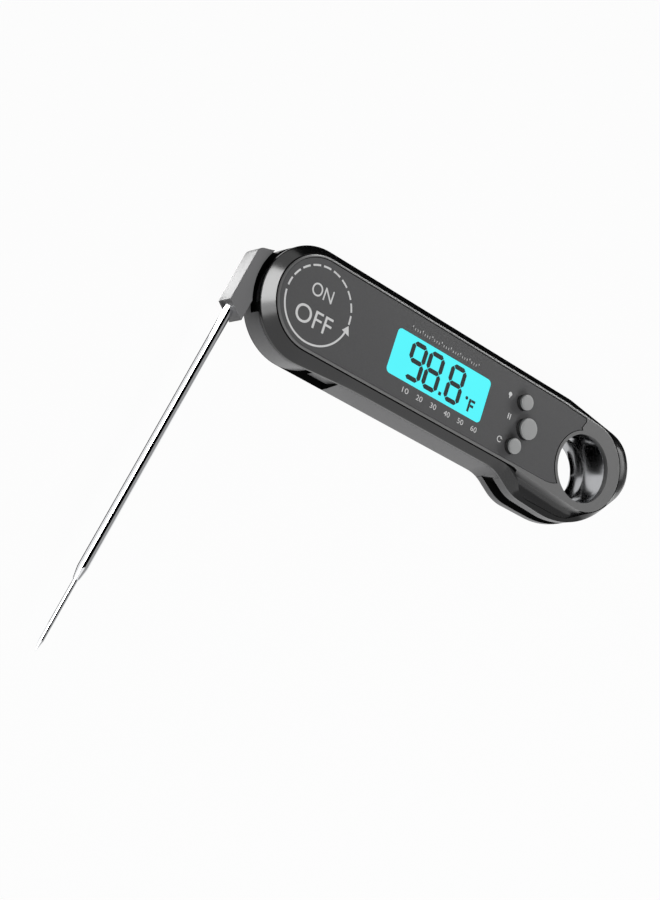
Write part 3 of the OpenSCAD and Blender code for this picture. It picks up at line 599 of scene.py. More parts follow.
def speckled(name, values, roughness, grain, depth, spread=0.06, ior=1.5, **extra):
    """A surface with a fine speckle of a grain size in millimetres, in its colour, gloss and height."""
    if name in bpy.data.materials:
        return bpy.data.materials[name]
    values = to_linear(values) if isinstance(values, str) else values
    dark, light = rgba(values, 1 - spread), rgba(values, 1 + spread)
    material, tree, shader = blank(name)
    place = node(tree, "ShaderNodeTexCoord").outputs["Object"]
    grains = node(tree, "ShaderNodeTexNoise", {"Vector": place, "Scale": 1000 / grain, "Detail": 2.0})
    noise = grains.outputs[0]
    tone = node(tree, "ShaderNodeMix", {0: noise, 6: dark, 7: light}, data_type="RGBA")
    gloss = node(tree, "ShaderNodeMapRange", {0: noise, 3: roughness * 0.9, 4: roughness * 1.1})
    bump = node(tree, "ShaderNodeBump", {"Height": noise, "Strength": 0.35, "Distance": depth / 1000})
    tree.links.new(tone.outputs[2], shader.inputs["Base Color"])
    tree.links.new(gloss.outputs[0], shader.inputs["Roughness"])
    tree.links.new(bump.outputs[0], shader.inputs["Normal"])
    if not extra.get("Metallic"):
        shader.inputs["IOR"].default_value = ior
    for key, value in extra.items():
        shader.inputs[key.replace("_", " ")].default_value = value
    return material


def finishes(context):
    """Every finish of the object, by material slot."""
    ink = context.scene.thermo_finish
    return {
        # Charcoal ABS, moulded in a polished tool: a soft clear sheen over a dark body
        "case_plastic": speckled("charcoal_abs_moulded", ink.case, 0.2, 0.4, 0.002, 0.05, 1.54),
        # Grey ABS, moulded in a fine-blasted tool: an even satin surface
        "body_plastic": speckled("grey_abs_moulded", ink.body, 0.38, 0.3, 0.003, 0.05, 1.54),
        "arm_plastic": speckled(
            "arm_abs_moulded", ink.arm, 0.36, 0.3, 0.003, 0.05, 1.54, Specular_IOR_Level=0.25),
        # Lighter grey ABS under a satin lacquer, with painted shade that darkens it towards the scoop's floor
        "bezel_plastic": bezel_finish(ink),
        # Polycarbonate film with a printed back and a velvet texture, its grain drawn coarse enough to show
        "face_film": speckled(
            "polycarbonate_film_velvet", ink.face, 0.46, 0.55, 0.012, 0.10, 1.58, Specular_IOR_Level=0.25),
        # Grey silicone-feel ABS caps, matt and slightly pebbled
        "button_plastic": speckled("key_abs_matt", ink.key, 0.5, 0.35, 0.006, 0.05, 1.54),
        # Moulded silicone rubber: matt black with a dusty bloom; on the buttons' side walls this black is
        # painted shade
        "rubber": speckled("silicone_rubber", ink.skirt, 0.65, 0.5, 0.01, 0.25, 1.41),
        # Painted shade: a near-black matt surface laid on slots, pockets, notches and seam walls where shade
        # falls; it gives back almost no light
        "shade_lining": speckled("black_flock", "#060606", 0.95, 0.3, 0.05, 0.3, 1.4, Specular_IOR_Level=0.05),
        # ABS under a dark nickel plating: a dim mirror, softened a little
        "black_gloss": speckled("dark_nickel_plated_abs", ink.liner, 0.16, 1.2, 0.0005, 0.05, Metallic=1.0),
        # Drawn and buffed stainless steel: a near mirror with a fine polishing haze
        "polished_steel": speckled(
            "stainless_steel_buffed", ink.steel, 0.07, 0.6, 0.0004, 0.03, Metallic=1.0),
        # Pad-printed ink: flat and matt, a little uneven
        "ink": speckled("pad_print_ink", ink.ink, 0.6, 0.25, 0.002, 0.06, 1.5),
        # A dark liquid crystal segment behind the window
        "segment": speckled(
            "liquid_crystal_segment", ink.segment, 0.45, 0.5, 0.0005, 0.08, 1.5, Specular_IOR_Level=0.25),
        # Clear acrylic over the lit display
        "window": lit_window(ink),
        # Glass-epoxy board under green solder mask
        "board": speckled("glass_epoxy_board", "#1c5c3c", 0.4, 0.9, 0.01, 0.2, 1.52),
        "black_plastic": speckled("black_nylon_moulded", "#1b1b1c", 0.45, 0.5, 0.004, 0.15, 1.53),
        "white_plastic": speckled("white_abs_moulded", "#d8d8d4", 0.42, 0.5, 0.003, 0.04, 1.54),
        "light_guide": speckled("milky_acrylic", "#dff4f4", 0.3, 1.0, 0.002, 0.03, 1.49),
        "lcd": speckled("display_glass", "#3a6f73", 0.08, 2.0, 0.0002, 0.04, 1.52),
        "lead_film": speckled("polyimide_flex", "#b7802f", 0.35, 1.0, 0.003, 0.08, 1.7),
        # Rolled, turned and plated metals of the inner pieces
        "brass": speckled("brass_turned", "#c9a35a", 0.28, 0.3, 0.001, 0.06, Metallic=1.0),
        "cell_steel": speckled("nickel_plated_steel", "#c9cbcf", 0.22, 0.6, 0.001, 0.05, Metallic=1.0),
        "magnet": speckled("nickel_plated_magnet", "#b4b6ba", 0.25, 0.6, 0.001, 0.06, Metallic=1.0),
        "screw_steel": speckled("zinc_plated_steel", "#a9acb0", 0.3, 0.25, 0.001, 0.08, Metallic=1.0),
    }


def bezel_finish(ink):
    """Grey ABS under a satin lacquer, with painted shade: below a height its colour darkens to charcoal
    towards the scoop's floor.
    """
    name = "bezel_abs_lacquered"
    if name in bpy.data.materials:
        return bpy.data.materials[name]
    material = speckled(name, ink.bezel, 0.24, 0.3, 0.002, 0.04, 1.54)
    tree = material.node_tree
    shader = tree.nodes["Principled BSDF"]
    bezel_tone = shader.inputs["Base Color"].links[0].from_socket
    place = node(tree, "ShaderNodeSeparateXYZ", {0: node(tree, "ShaderNodeTexCoord").outputs["Object"]})
    # Painted shade: between these heights, in metres, the colour runs from charcoal up to the bezel's own grey
    shade_low, shade_high = 0.0151, 0.0181
    cover = node(tree, "ShaderNodeMapRange", {0: place.outputs["Z"], 1: shade_low, 2: shade_high})
    shaded_tone = node(tree, "ShaderNodeMix", {0: cover.outputs[0], 6: rgba(ink.case), 7: bezel_tone}, data_type="RGBA")
    tree.links.new(shaded_tone.outputs[2], shader.inputs["Base Color"])
    return material


def lit_window(ink):
    """Clear acrylic over a lit display: a cyan glow that is a little uneven, under a thin gloss."""
    name = "lit_acrylic_window"
    if name in bpy.data.materials:
        return bpy.data.materials[name]
    material, tree, shader = blank(name)
    place = node(tree, "ShaderNodeTexCoord").outputs["Object"]
    noise = node(tree, "ShaderNodeTexNoise", {"Vector": place, "Scale": 1000 / 14, "Detail": 1.0}).outputs[0]
    dim, bright = rgba(ink.lamp, 0.97), rgba(ink.lamp, 1.03)
    glow = node(tree, "ShaderNodeMix", {0: noise, 6: dim, 7: bright}, data_type="RGBA")
    tree.links.new(glow.outputs[2], shader.inputs["Emission Color"])
    shader.inputs["Emission Strength"].default_value = 1.0
    shader.inputs["Base Color"].default_value = (0, 0, 0, 1)
    shader.inputs["Roughness"].default_value = 0.25
    shader.inputs["IOR"].default_value = 1.49
    shader.inputs["Specular IOR Level"].default_value = 0.02
    return material


# Operators

class THERMOMETER_OT_rear_case(bpy.types.Operator):
    """Models the rear case with its plate, side wall, slot and openings"""
    bl_idname = "thermometer.rear_case"
    bl_label = "Rear case"

    def execute(self, context):
        case = mm(context.scene.thermo_case)
        face = mm(context.scene.thermo_face)
        plate, split, bevel = case.plate_t, case.split_z, case.back_bevel_w
        shell = loft("rear_case_shell", levels(partial(wall_plan, case), [
            (bevel + 1.0, 0), (bevel + 0.6, 0.03), (bevel + 0.25, 0.14), (bevel, 0.33),
            (bevel * 0.55, plate * 0.47), (0.28, plate - 0.36), (0.08, plate), (0, plate + 0.5),
            (0, (plate + split) / 2), (0, split - 0.45), (0.05, split - 0.22), (0.2, split - 0.1)]))
        high = split + 1
        cell = (case.cell_x, 0)
        slot_x = case.near_x - case.near_r - 1
        ledge = case.ledge_w - case.block_gap
        combine(
            shell, "DIFFERENCE",
            cut(circle((0, 0), case.swing_r, 128), plate, high),
            cut(box_plan(-BEYOND, -BEYOND, case.horn_x, BEYOND), plate, high),
            cut(box_plan(0, -BEYOND, case.pocket_x, -case.block_gap), plate, high),
            cut(box_plan(0, -BEYOND, case.pocket_x, ledge), plate, case.slot_low),
            cut(box_plan(slot_x, -BEYOND, FAR, -case.slot_floor), case.slot_low, high),
            cut(CAVITY, case.back_t, high),
            cut(circle(face.hole, face.liner_r + FIT), -1, high),
            cut(circle(cell, case.cover_r + 2 * FIT), -1, case.cover_sink),
            cut(circle(cell, case.plug_r + 4 * FIT), 0, case.plug_sink),
            *[cut(circle(at, case.screw_r, 32), -1, case.screw_sink) for at in SCREWS],
        )
        combine(shell, "UNION", prism("post", circle((0, 0), case.post_r, 48), plate / 2, split - FIT))
        soften(shell, 0.12)
        near = 0.02

        def shade_faces(at, way):
            """Faces that take painted shade: the sides and floor of the slot, and the floor and far end of the
            block's pocket.
            """
            slot = at.y < near - case.slot_floor and at.z > case.slot_low - near
            pocket = at.x < case.pocket_x + near and at.y < 0 and at.z > plate - near
            return slot or pocket and (at.z < case.slot_low + near or way.x < -0.5)

        made = finishes(context)
        # Painted shade on the slot and the block's pocket
        line(shell, made["body_plastic"], made["shade_lining"], shade_faces)
        settle(shell, None, "case", "case_plastic", "rear_case")
        return {"FINISHED"}


class THERMOMETER_OT_front_case(bpy.types.Operator):
    """Models the front case with its rounded band and the recess for the face"""
    bl_idname = "thermometer.front_case"
    bl_label = "Front case"

    def execute(self, context):
        case = mm(context.scene.thermo_case)
        face = mm(context.scene.thermo_face)
        arcs = case_plan(case, 1)
        recess = outline(bezel_plan(face), face.seam)
        edge = [Vector(p) for p in outline(arcs)]
        inward = [p - Vector(q) for p, q in zip(edge, outline(arcs, 1))]
        # The band runs just past the recess's edge, or a least width inward where that edge comes too close
        past, least = 1.03, 0.3
        reach = [foot(p, recess) - p for p in edge]
        reach = [past * to if to.length > least and to.dot(way) > 0 else least * way
                 for to, way in zip(reach, inward)]
        shares = band_shares(len(arcs))
        split, bottom = case.split_z, case.band_top - case.band_h

        def ring(side, tail):
            """One ring of the band, from its shares of the width and height at the sides and at the tail."""
            points = []
            for at, to, (end, lobe) in zip(edge, reach, shares):
                at = at + to * (side[0] + (tail[0] - side[0]) * end)
                low = bottom - (case.tail_band_h - case.band_h) * end
                high = case.band_top + (case.lobe_top - case.band_top) * lobe
                points.append((at.x, at.y, low + (high - low) * (side[1] + (tail[1] - side[1]) * end)))
            return points

        rings = levels(lambda inset, z: outline(arcs, -inset), [
            (0.45, split), (0.16, split + 0.06), (0, split + 0.26)])
        rings += [ring(side, tail) for side, tail in zip(SIDE_BAND, TAIL_BAND)]
        shell = loft("front_case_shell", rings)
        low = case.slot_high
        skirt = loft("skirt", levels(partial(wall_plan, case), [
            (0.3, low), (0.08, low + 0.12), (0, low + 0.35), (0, split), (0.05, split + 0.3)]))
        combine(skirt, "DIFFERENCE", cut(box_plan(-BEYOND, -case.slot_floor - FIT, FAR, BEYOND), 0, ABOVE))
        combine(shell, "UNION", skirt)
        pocket = combine(prism("pocket", recess, face.zone_z, ABOVE), "DIFFERENCE",
                         cut(box_plan(-BEYOND, -BEYOND, face.zone_x, BEYOND), 0, face.deck_z))
        inside = split - 1
        combine(
            shell, "DIFFERENCE",
            pocket,
            cut(CAVITY, inside, face.deck_low),
            cut(window_plan(face, 4 * FIT), inside, ABOVE),
            cut(circle(face.hole, face.liner_r + FIT), 0, ABOVE),
            cut(circle((0, 0), case.pivot_head_r, 32), case.pivot_head_z, ABOVE),
            cut(circle((0, 0), case.pivot_hole_r, 32), inside, ABOVE),
            *[cut(circle(at, r + face.key_gap, 48), inside, ABOVE) for _, at, r in keys(face)],
        )
        made = finishes(context)
        line(shell, made["case_plastic"], made["body_plastic"], lambda at, way: (
            at.x > case.near_x - case.near_r and at.y < -case.waist_front and at.z < bottom))
        settle(shell, None, "case", "case_plastic", "front_case")
        return {"FINISHED"}


def band_shares(count):
    """Shares of the tail's and of the lobe's band at each point of the case's outline."""
    shares = []
    for i in range(count):
        start, end = LOBE_RAMP.get(i, (0.0, 0.0))
        for k in range(ARC_STEPS + 1):
            t = k / ARC_STEPS
            ramp = min(1.0, max(0.0, start + (end - start) * t))
            tail = min(1.0, 5 * t * (1 - t)) if i == TAIL_ARC else 0.0
            shares.append((tail, ramp * ramp * (3 - 2 * ramp)))
    return shares


def keys(face):
    """Names, places and radii of the light, hold and calibration buttons."""
    radii = (face.small_r, face.large_r, face.small_r)
    return [(name, at, r) for (name, at), r in zip(KEYS.items(), radii)]


def window_plan(face, grow=0.0):
    """Plan of the display window, made wider and higher."""
    return rounded((face.lcd_x, 0), face.lcd_w + grow, face.lcd_h + grow, face.lcd_corner)


def face_prism(name, face, grow, low, high):
    """An upright solid on the face plate's plan, which stops round the hang hole."""
    plate = prism(name, outline([face.head, face.end], grow - face.rim_w, 64), low, high)
    corner = [(face.end[0] - face.stop_l, *face.end[1:]), face.stop]
    combine(plate, "UNION", prism("corner", outline(corner, grow - face.rim_w), low, high))
    hole = circle(face.hole, face.hole[2] + face.ring_w - grow, 128)
    return combine(plate, "DIFFERENCE", cut(hole, low - 1, high + 1))


def between(discs, share, count=360):
    """Points round the blend of two groups of discs, each taken at its outermost point in every direction."""
    points = []
    for k in range(count):
        way = Vector((math.cos(math.tau * k / count), math.sin(math.tau * k / count)))
        ends = [max((Vector(d[:2]) + d[2] * way for d in group), key=way.dot) for group in discs]
        points.append(ends[0].lerp(ends[1], share))
    return points


class THERMOMETER_OT_bezel(bpy.types.Operator):
    """Models the bezel: a thin rim round the face and a sloped zone round the hang hole"""
    bl_idname = "thermometer.bezel"
    bl_label = "Bezel"

    def execute(self, context):
        face = mm(context.scene.thermo_face)
        arcs = bezel_plan(face)
        lead, scoop, lip, end, far = arcs[1:]
        x, y, hole_r = face.hole
        top, low = face.rim_z, face.zone_z + face.zone_t
        start, side = lead[0] - face.lead_r, -far[2] / 2
        zone = [(start, -BEYOND), (FAR, -BEYOND), (FAR, BEYOND), (x, BEYOND), (x, y), (far[0], y),
                (far[0], side), (start, side)]
        bezel = loft("bezel_rim", levels(lambda inset, z: outline(arcs, -inset), [
            (0, face.zone_z), (0, top - 0.28), (0.04, top - 0.17), (0.42, top - 0.03), (0.55, top)]))
        # The scoop rises from just outside the zone's edge to the end of the face
        outside, inset = 0.5, 0.15
        discs = ([(*arc[:2], arc[2] + outside) for arc in (scoop, lip, end)],
                 [(start, face.lead_r - far[2], face.lead_r), far, (*end[:2], end[2] - inset)])
        slope = loft("slope", [
            [(*at, low + (top - low) * rise) for at in between(discs, share)] for rise, share in SCOOP])
        waste = combine(prism("waste", zone, low, ABOVE), "DIFFERENCE", slope)
        under = combine(prism("under", box_plan(-BEYOND, -BEYOND, FAR + BEYOND, BEYOND), 0, face.deck_z),
                        "DIFFERENCE", cut(zone, -1, ABOVE))
        combine(
            bezel, "DIFFERENCE", waste, under,
            face_prism("cut", face, face.seam / 2, 0, ABOVE),
            cut(circle((x, y), hole_r, 96), 0, ABOVE),
            cut(circle((x, y), face.liner_r + FIT, 96), 0, face.liner_top + FIT),
        )
        soften(bezel, 0.15, 2, 50)
        made = finishes(context)
        # Painted shade: the bezel's upright walls, away from the hang hole, take the near-black finish
        line(bezel, made["bezel_plastic"], made["shade_lining"], lambda at, way: (
            abs(way.z) < 0.2 and math.hypot(at.x - x, at.y - y) > hole_r + 0.2))
        settle(bezel, None, "case", "bezel_plastic", "bezel")
        return {"FINISHED"}


class THERMOMETER_OT_face_plate(bpy.types.Operator):
    """Models the face plate with its display window and button holes"""
    bl_idname = "thermometer.face_plate"
    bl_label = "Face plate"

    def execute(self, context):
        face = mm(context.scene.thermo_face)
        plate = face_prism("face_plate_film", face, 0, face.deck_z, face.face_z)
        combine(
            plate, "DIFFERENCE",
            cut(window_plan(face, 2 * FIT), 0, ABOVE),
            *[cut(circle(at, r + face.key_gap, 64), 0, ABOVE) for _, at, r in keys(face)],
        )
        soften(plate, 0.08)
        settle(plate, finishes(context)["face_film"], "case", "face_film", "face_plate")
        return {"FINISHED"}


class THERMOMETER_OT_display(bpy.types.Operator):
    """Models the lit window and the dark segments of its reading"""
    bl_idname = "thermometer.display"
    bl_label = "Display"

    def execute(self, context):
        face = mm(context.scene.thermo_face)
        made = finishes(context)
        top = face.face_z - FIT
        window = soften(prism("display_window", window_plan(face), face.deck_low, top), 0.06)
        settle(window, made["window"], "case", "window", "lcd_window")
        parts = [mark(name, plan, top, SEGMENT_T) for name, plan in (
            ("dot", box_plan(53.0, -5.95, 54.2, -4.75)), ("degree", circle((64.6, -1.9), 0.6, 20)),
            ("stem", box_plan(65.8, -6.0, 66.7, -1.6)), ("arm", box_plan(66.75, -2.5, 68.5, -1.6)),
            ("arm", box_plan(66.75, -4.2, 68.2, -3.3)))]
        side = face.segment_w / 2
        for segment_l, angle, places in SEGMENTS:
            half = segment_l / 2
            end = half - side
            bar = mark("bar", [(-half, 0), (-end, -side), (end, -side), (half, 0), (end, side), (-end, side)],
                       top, SEGMENT_T)
            parts += copies(bar, [(x + places[key][0], places[key][1], angle)
                                  for x, lit in FIGURES for key in lit if key in places])
        settle(join("display_reading", parts), made["segment"], "case", "lcd")
        return {"FINISHED"}


class THERMOMETER_OT_buttons(bpy.types.Operator):
    """Models the three buttons, each a rounded cap on a skirt with a flange"""
    bl_idname = "thermometer.buttons"
    bl_label = "Buttons"

    def execute(self, context):
        face = mm(context.scene.thermo_face)
        made = finishes(context)
        flange, cap_h = 0.8, 1.0
        low, top = face.deck_low - flange, face.key_top
        for name, at, r in keys(face):
            key = lathe(f"{name}_cap", at, [
                (r + flange, low), (r + flange, low + 0.7), (r + 0.1, low + 0.72), (r + 0.1, top - 1.02),
                (r + 0.25, top - 0.98), (r + 0.25, top - 0.35), (r + 0.2, top - 0.2), (r + 0.08, top - 0.07),
                (r - 0.1, top), (r - 0.8, top + 0.01), (r * 0.3, top + 0.02)])
            # Painted shade: the side wall below the cap takes the black rubber finish, which stands for the
            # shade on the buttons' sides
            line(key, made["button_plastic"], made["rubber"], lambda at, way: at.z < top - cap_h)
            settle(key, None, f"{name}_body", "button_plastic", name)
        return {"FINISHED"}


class THERMOMETER_OT_hang_ring(bpy.types.Operator):
    """Models the liner of the hang hole with its tapered neck"""
    bl_idname = "thermometer.hang_ring"
    bl_label = "Hang ring"

    def execute(self, context):
        face = mm(context.scene.thermo_face)
        r, out, low, top, neck = face.hole[2], face.liner_r, face.liner_low, face.liner_top, face.neck_z
        ring = spun("hang_hole_liner", face.hole, [
            (face.neck_r + 0.15, low), (out, low), (out, top), (r + 0.12, top), (r, top - 0.15),
            (r, neck + 0.8), (r - 0.05, neck + 0.3), (r - 0.2, neck - 0.4), (face.neck_r, low + 0.4)], 128)
        settle(ring, finishes(context)["black_gloss"], "case", "black_gloss", "hang_ring", angle=40)
        return {"FINISHED"}


def arm_point(lean, across, along, z=0):
    """A point given by its distance across from the hinge, along the probe and up."""
    x, y = -across, -along
    return (x * math.cos(lean) + y * math.sin(lean), y * math.cos(lean) - x * math.sin(lean), z)


def arm_plan(lean, points):
    """A plan given by distances across from the hinge and along the probe."""
    return [arm_point(lean, *point)[:2] for point in points]


def within(at, plan, slack=0.15):
    """Whether a point lies on a convex plan, run counter-clockwise, or close to it."""
    return all((b[0] - a[0]) * (at.y - a[1]) - (b[1] - a[1]) * (at.x - a[0]) > -slack * math.dist(a, b)
               for a, b in zip(plan, plan[1:] + plan[:1]))


def block_points(probe, steps=10):
    """Corners of the block across from the hinge and along the probe: flared ends and a round far corner."""
    out, near, end, r = probe.block_out, probe.block_in, probe.block_end, probe.corner_r
    flare, far = probe.flare, probe.block_side
    bend = math.pi / 2 - flare
    middle = r * math.tan(bend / 2) - probe.block_top
    turns = [k * bend / steps for k in range(steps, -1, -1)]
    corner = [(out - r + r * math.cos(t), middle - r * math.sin(t)) for t in turns]
    root = (out - far * math.cos(flare), -probe.block_top - far * math.sin(flare))
    return [(out, end), (near, end + (out - near) * math.tan(flare)), (near, 0), root, *corner]


class THERMOMETER_OT_arm(bpy.types.Operator):
    """Models the probe's arm: a round hub, a flared block, a notch and the probe's socket"""
    bl_idname = "thermometer.arm"
    bl_label = "Arm"

    def execute(self, context):
        case = mm(context.scene.thermo_case)
        probe = mm(context.scene.thermo_probe)
        r, low, high = case.head_r, probe.hub_low, probe.hub_high
        hub = lathe("probe_arm_hub", (0, 0), [
            (r - 0.3, low), (r - 0.08, low + 0.1), (r, low + 0.35), (r, (low + high) / 2), (r, high - 0.5),
            (r - 0.13, high - 0.16), (r - 0.45, high)], 160)
        plan = arm_plan(probe.lean, block_points(probe))
        block = soften(prism("block", plan, probe.block_low, probe.block_high), 0.22, 3, 20)
        combine(hub, "UNION", block)
        notch = arm_plan(probe.lean, NOTCH)
        turns = [math.radians(a) for a in GROOVE]
        rims = ((r + probe.groove_w, turns), (r - probe.groove_in, turns[::-1]))
        groove = [(rim * math.cos(t), rim * math.sin(t)) for rim, sweep in rims for t in sweep]
        socket_r = probe.shaft_r + 0.02
        combine(
            hub, "DIFFERENCE",
            cut(notch, high - probe.notch_h, ABOVE),
            cut(groove, high - probe.groove_h, ABOVE),
            cut(circle((0, 0), probe.bore_r, 64), 0, ABOVE),
            cut(circle((0, 0), probe.washer_r, 96), probe.washer_z, ABOVE),
            rod("cut", probe, [(socket_r, probe.socket_start), (socket_r, probe.socket_end)]),
        )

        def shade_faces(at, way):
            """Faces that take painted shade: the notch, and the floor and inner side of the groove."""
            deep = high - probe.notch_h - 0.02 < at.z < probe.block_high - 0.02 and at.x < 0
            bed = (way.z > 0.9 or way.x > 0.4) and math.hypot(at.x, at.y) > probe.washer_r + 0.1
            return deep and (bed or within(at, notch))

        made = finishes(context)
        # Painted shade on the notch and the groove
        line(hub, made["arm_plastic"], made["shade_lining"], shade_faces)
        settle(hub, None, "probe", "arm_plastic", "probe_arm")
        return {"FINISHED"}


def rod(name, probe, profile, count=48):
    """A turned solid on the probe's axis through [radius, distance] steps."""
    turns = [math.tau * k / count for k in range(count)]
    return loft(name, [
        [arm_point(probe.lean, probe.offset + r * math.cos(t), along, probe.axis_z + r * math.sin(t))
         for t in turns]
        for r, along in profile])


class THERMOMETER_OT_probe(bpy.types.Operator):
    """Models the probe's shaft with its taper, and the thin pointed tip"""
    bl_idname = "thermometer.probe"
    bl_label = "Probe"

    def execute(self, context):
        probe = mm(context.scene.thermo_probe)
        steel = finishes(context)["polished_steel"]
        r, tip = probe.shaft_r, probe.tip_r
        start, taper, thin, end = probe.shaft_start, probe.taper_at, probe.taper_end, probe.reach
        # The rings at 40, 75 and 120 only keep the long faces short
        shaft = rod("probe_shaft_tube", probe, [
            (r - 0.1, start), (r, start + 0.1), (r, 40), (r, 75), (r, taper - 0.8), (r - 0.02, taper - 0.2),
            (r - 0.1, taper + 0.4), (tip + 0.28, thin - 0.3), (tip + 0.2, thin), (tip + 0.03, thin + 0.02)])
        settle(shaft, steel, "probe", "polished_steel", "probe_shaft", angle=50)
        point = end - probe.point_l
        needle = rod("probe_tip_needle", probe, [
            (tip, thin - 0.4), (tip, 120), (tip, point), (tip * 0.93, point + 0.35), (tip * 0.5, end - 1.3),
            (tip * 0.16, end - 0.2), (tip * 0.05, end)], 32)
        settle(needle, steel, "probe", "polished_steel", "probe_tip", angle=50)
        return {"FINISHED"}


class THERMOMETER_OT_battery_cover(bpy.types.Operator):
    """Models the turning battery cover with its coin slot and plug"""
    bl_idname = "thermometer.battery_cover"
    bl_label = "Battery cover"

    def execute(self, context):
        case = mm(context.scene.thermo_case)
        at = (case.cell_x, 0)
        r, plug, seal = case.cover_r, case.plug_r, case.seal_r
        cover = lathe("battery_cover_cap", at, [
            (r - 0.5, 0.05), (r - 0.2, 0.12), (r, 0.4), (r, 1.15), (plug, 1.16), (plug, 1.35), (seal, 1.4),
            (seal, 2.5), (plug, 2.55), (plug, 3.1), (plug - 0.3, 3.3)], 128)
        slot = cut(rounded(at, case.coin_l, case.coin_w, 0.5), -1, case.coin_sink)
        rim = spun("cut", at, [(r - 2.0, -1), (r - 1.6, -1), (r - 1.6, 0.25), (r - 2.0, 0.25)], 96)
        combine(cover, "DIFFERENCE", slot, rim)
        finish = finishes(context)["body_plastic"]
        settle(cover, finish, "battery_cover_body", "case_plastic", "battery_cover")
        return {"FINISHED"}


def lettering(name, text, box, z):
    """Printed text that fills a box on the face."""
    bpy.ops.object.select_all(action="DESELECT")
    bpy.ops.object.text_add()
    obj = bpy.context.object
    obj.data.body = text
    obj.data.extrude = PRINT_T
    bpy.ops.object.convert(target="MESH")
    obj = bpy.context.object
    obj.name = name
    xs = [v.co.x for v in obj.data.vertices]
    ys = [v.co.y for v in obj.data.vertices]
    x0, y0, x1, y1 = box
    scale = ((x1 - x0) / (max(xs) - min(xs)), (y1 - y0) / (max(ys) - min(ys)))
    obj.scale = (scale[0], scale[1], 1)
    obj.location = (x0 - min(xs) * scale[0], y0 - min(ys) * scale[1], z)
    bpy.ops.object.transform_apply(location=True, rotation=True, scale=True)
    return obj


def stroke(name, points, width, z):
    """A printed line of even width through points."""
    left, right = [], []
    for i, p in enumerate(points):
        a = Vector(points[max(0, i - 1)])
        b = Vector(points[min(len(points) - 1, i + 1)])
        side = Vector((a.y - b.y, b.x - a.x)).normalized() * width / 2
        left.append((p[0] + side.x, p[1] + side.y))
        right.append((p[0] - side.x, p[1] - side.y))
    return mark(name, left + right[::-1], z)


def arc_points(at, radius, start, end, step):
    """Points along an arc between angles in degrees, a step apart."""
    count = max(1, round(abs(end - start) / step))
    turns = [math.radians(start + (end - start) * k / count) for k in range(count + 1)]
    return [(at[0] + radius * math.cos(t), at[1] + radius * math.sin(t)) for t in turns]


class THERMOMETER_OT_printing(bpy.types.Operator):
    """Prints the face: the broken circle with its arrow, plain words, a scale, numbers and small signs"""
    bl_idname = "thermometer.printing"
    bl_label = "Printing"

    def execute(self, context):
        face = mm(context.scene.thermo_face)
        z = face.face_z + PRINT_T + 0.001
        ink = finishes(context)["ink"]
        r, width = face.print_r, face.print_w
        solid = stroke("solid", arc_points((0, 0), r, 182, 344, 3), width, z)
        dash = stroke("dash", arc_points((0, 0), r, -6.6, 6.6, 3), width, z)
        dashes = copies(dash, [(0, 0, math.radians(168.5 - 18.25 * k)) for k in range(10)])
        arrow = mark("arrow", [(12.65, -0.9), (10.75, -3.05), (13.85, -3.95)], z)
        upper = lettering("upper", "ON", (-4.1, 2.3, 4.1, 6.6), z)
        lower = lettering("lower", "OFF", (-7.2, -7.5, 6.9, -1.6), z)
        settle(join("printed_circle", [solid, *dashes, arrow, upper, lower]), ink, "case", "face_film")

        scale_x, scale_y = 36, 9.3
        tick = stroke("tick", [(0, scale_y), (0, 10.1)], 0.2, z)
        ticks = copies(tick, [(scale_x + 1.05 * k, 0, 0) for k in range(29)])
        tall = stroke("tall", [(0, scale_y), (0, 10.7)], 0.26, z)
        tall = copies(tall, [(scale_x + 4.2 * k, 0, 0) for k in range(8)])
        figures = [lettering("figure", str(10 * k), (33 + 6.1 * k, -11.2, 35.6 + 6.1 * k, -9.4), z)
                   for k in range(1, 7)]
        settle(join("printed_scale", [*ticks, *tall, *figures]), ink, "case", "face_film")

        bulb = mark("bulb", circle((81.5, 7.1), 0.75, 24), z)
        cap = mark("cap", [(81.2, 6.4), (81.35, 5.7), (81.65, 5.7), (81.8, 6.4)], z)
        bars = [stroke("bar", [(x, -1.0), (x, 1.0)], 0.35, z) for x in (83.2, 84.1)]
        hook = stroke("hook", arc_points((82.4, -8.8), 0.95, 40, 320, 14), 0.28, z)
        point = mark("point", [(83.0, -7.6), (83.6, -8.5), (82.5, -8.4)], z)
        settle(join("printed_signs", [bulb, cap, *bars, hook, point]), ink, "case", "face_film")
        return {"FINISHED"}


class THERMOMETER_OT_inner_parts(bpy.types.Operator):
    """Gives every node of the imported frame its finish"""
    bl_idname = "thermometer.inner_parts"
    bl_label = "Inner parts"

    def execute(self, context):
        made = finishes(context)
        for slot, names in NODE_FINISHES.items():
            for name in names:
                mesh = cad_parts[name].data
                mesh.materials.clear()
                mesh.materials.append(made[slot])
        missed = set(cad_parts) - {name for names in NODE_FINISHES.values() for name in names}
        if missed:
            raise RuntimeError(f"nodes without a finish: {sorted(missed)}")
        return {"FINISHED"}


def glow_card(level):
    """A surface of an even glow that gives back no light; black at a level of 0."""
    name = f"card_glow_{level:g}"
    if name in bpy.data.materials:
        return bpy.data.materials[name]
    material, _, shader = blank(name)
    shader.inputs["Base Color"].default_value = (0, 0, 0, 1)
    shader.inputs["Specular IOR Level"].default_value = 0.0
    shader.inputs["Emission Color"].default_value = (1, 1, 1, 1)
    shader.inputs["Emission Strength"].default_value = level
    return material


def card(name, at, aim, width, height, glow):
    """A studio card that only reflections see."""
    bpy.ops.object.select_all(action="DESELECT")
    turn = (Vector(aim) - Vector(at)).to_track_quat("Z", "Y").to_euler()
    bpy.ops.mesh.primitive_plane_add(size=1, location=at, rotation=turn)
    obj = bpy.context.object
    obj.name = name
    obj.scale = (width, height, 1)
    obj.data.materials.append(glow_card(glow))
    obj.visible_camera = False
    obj.visible_diffuse = False
    obj.visible_shadow = False
    obj.visible_transmission = False


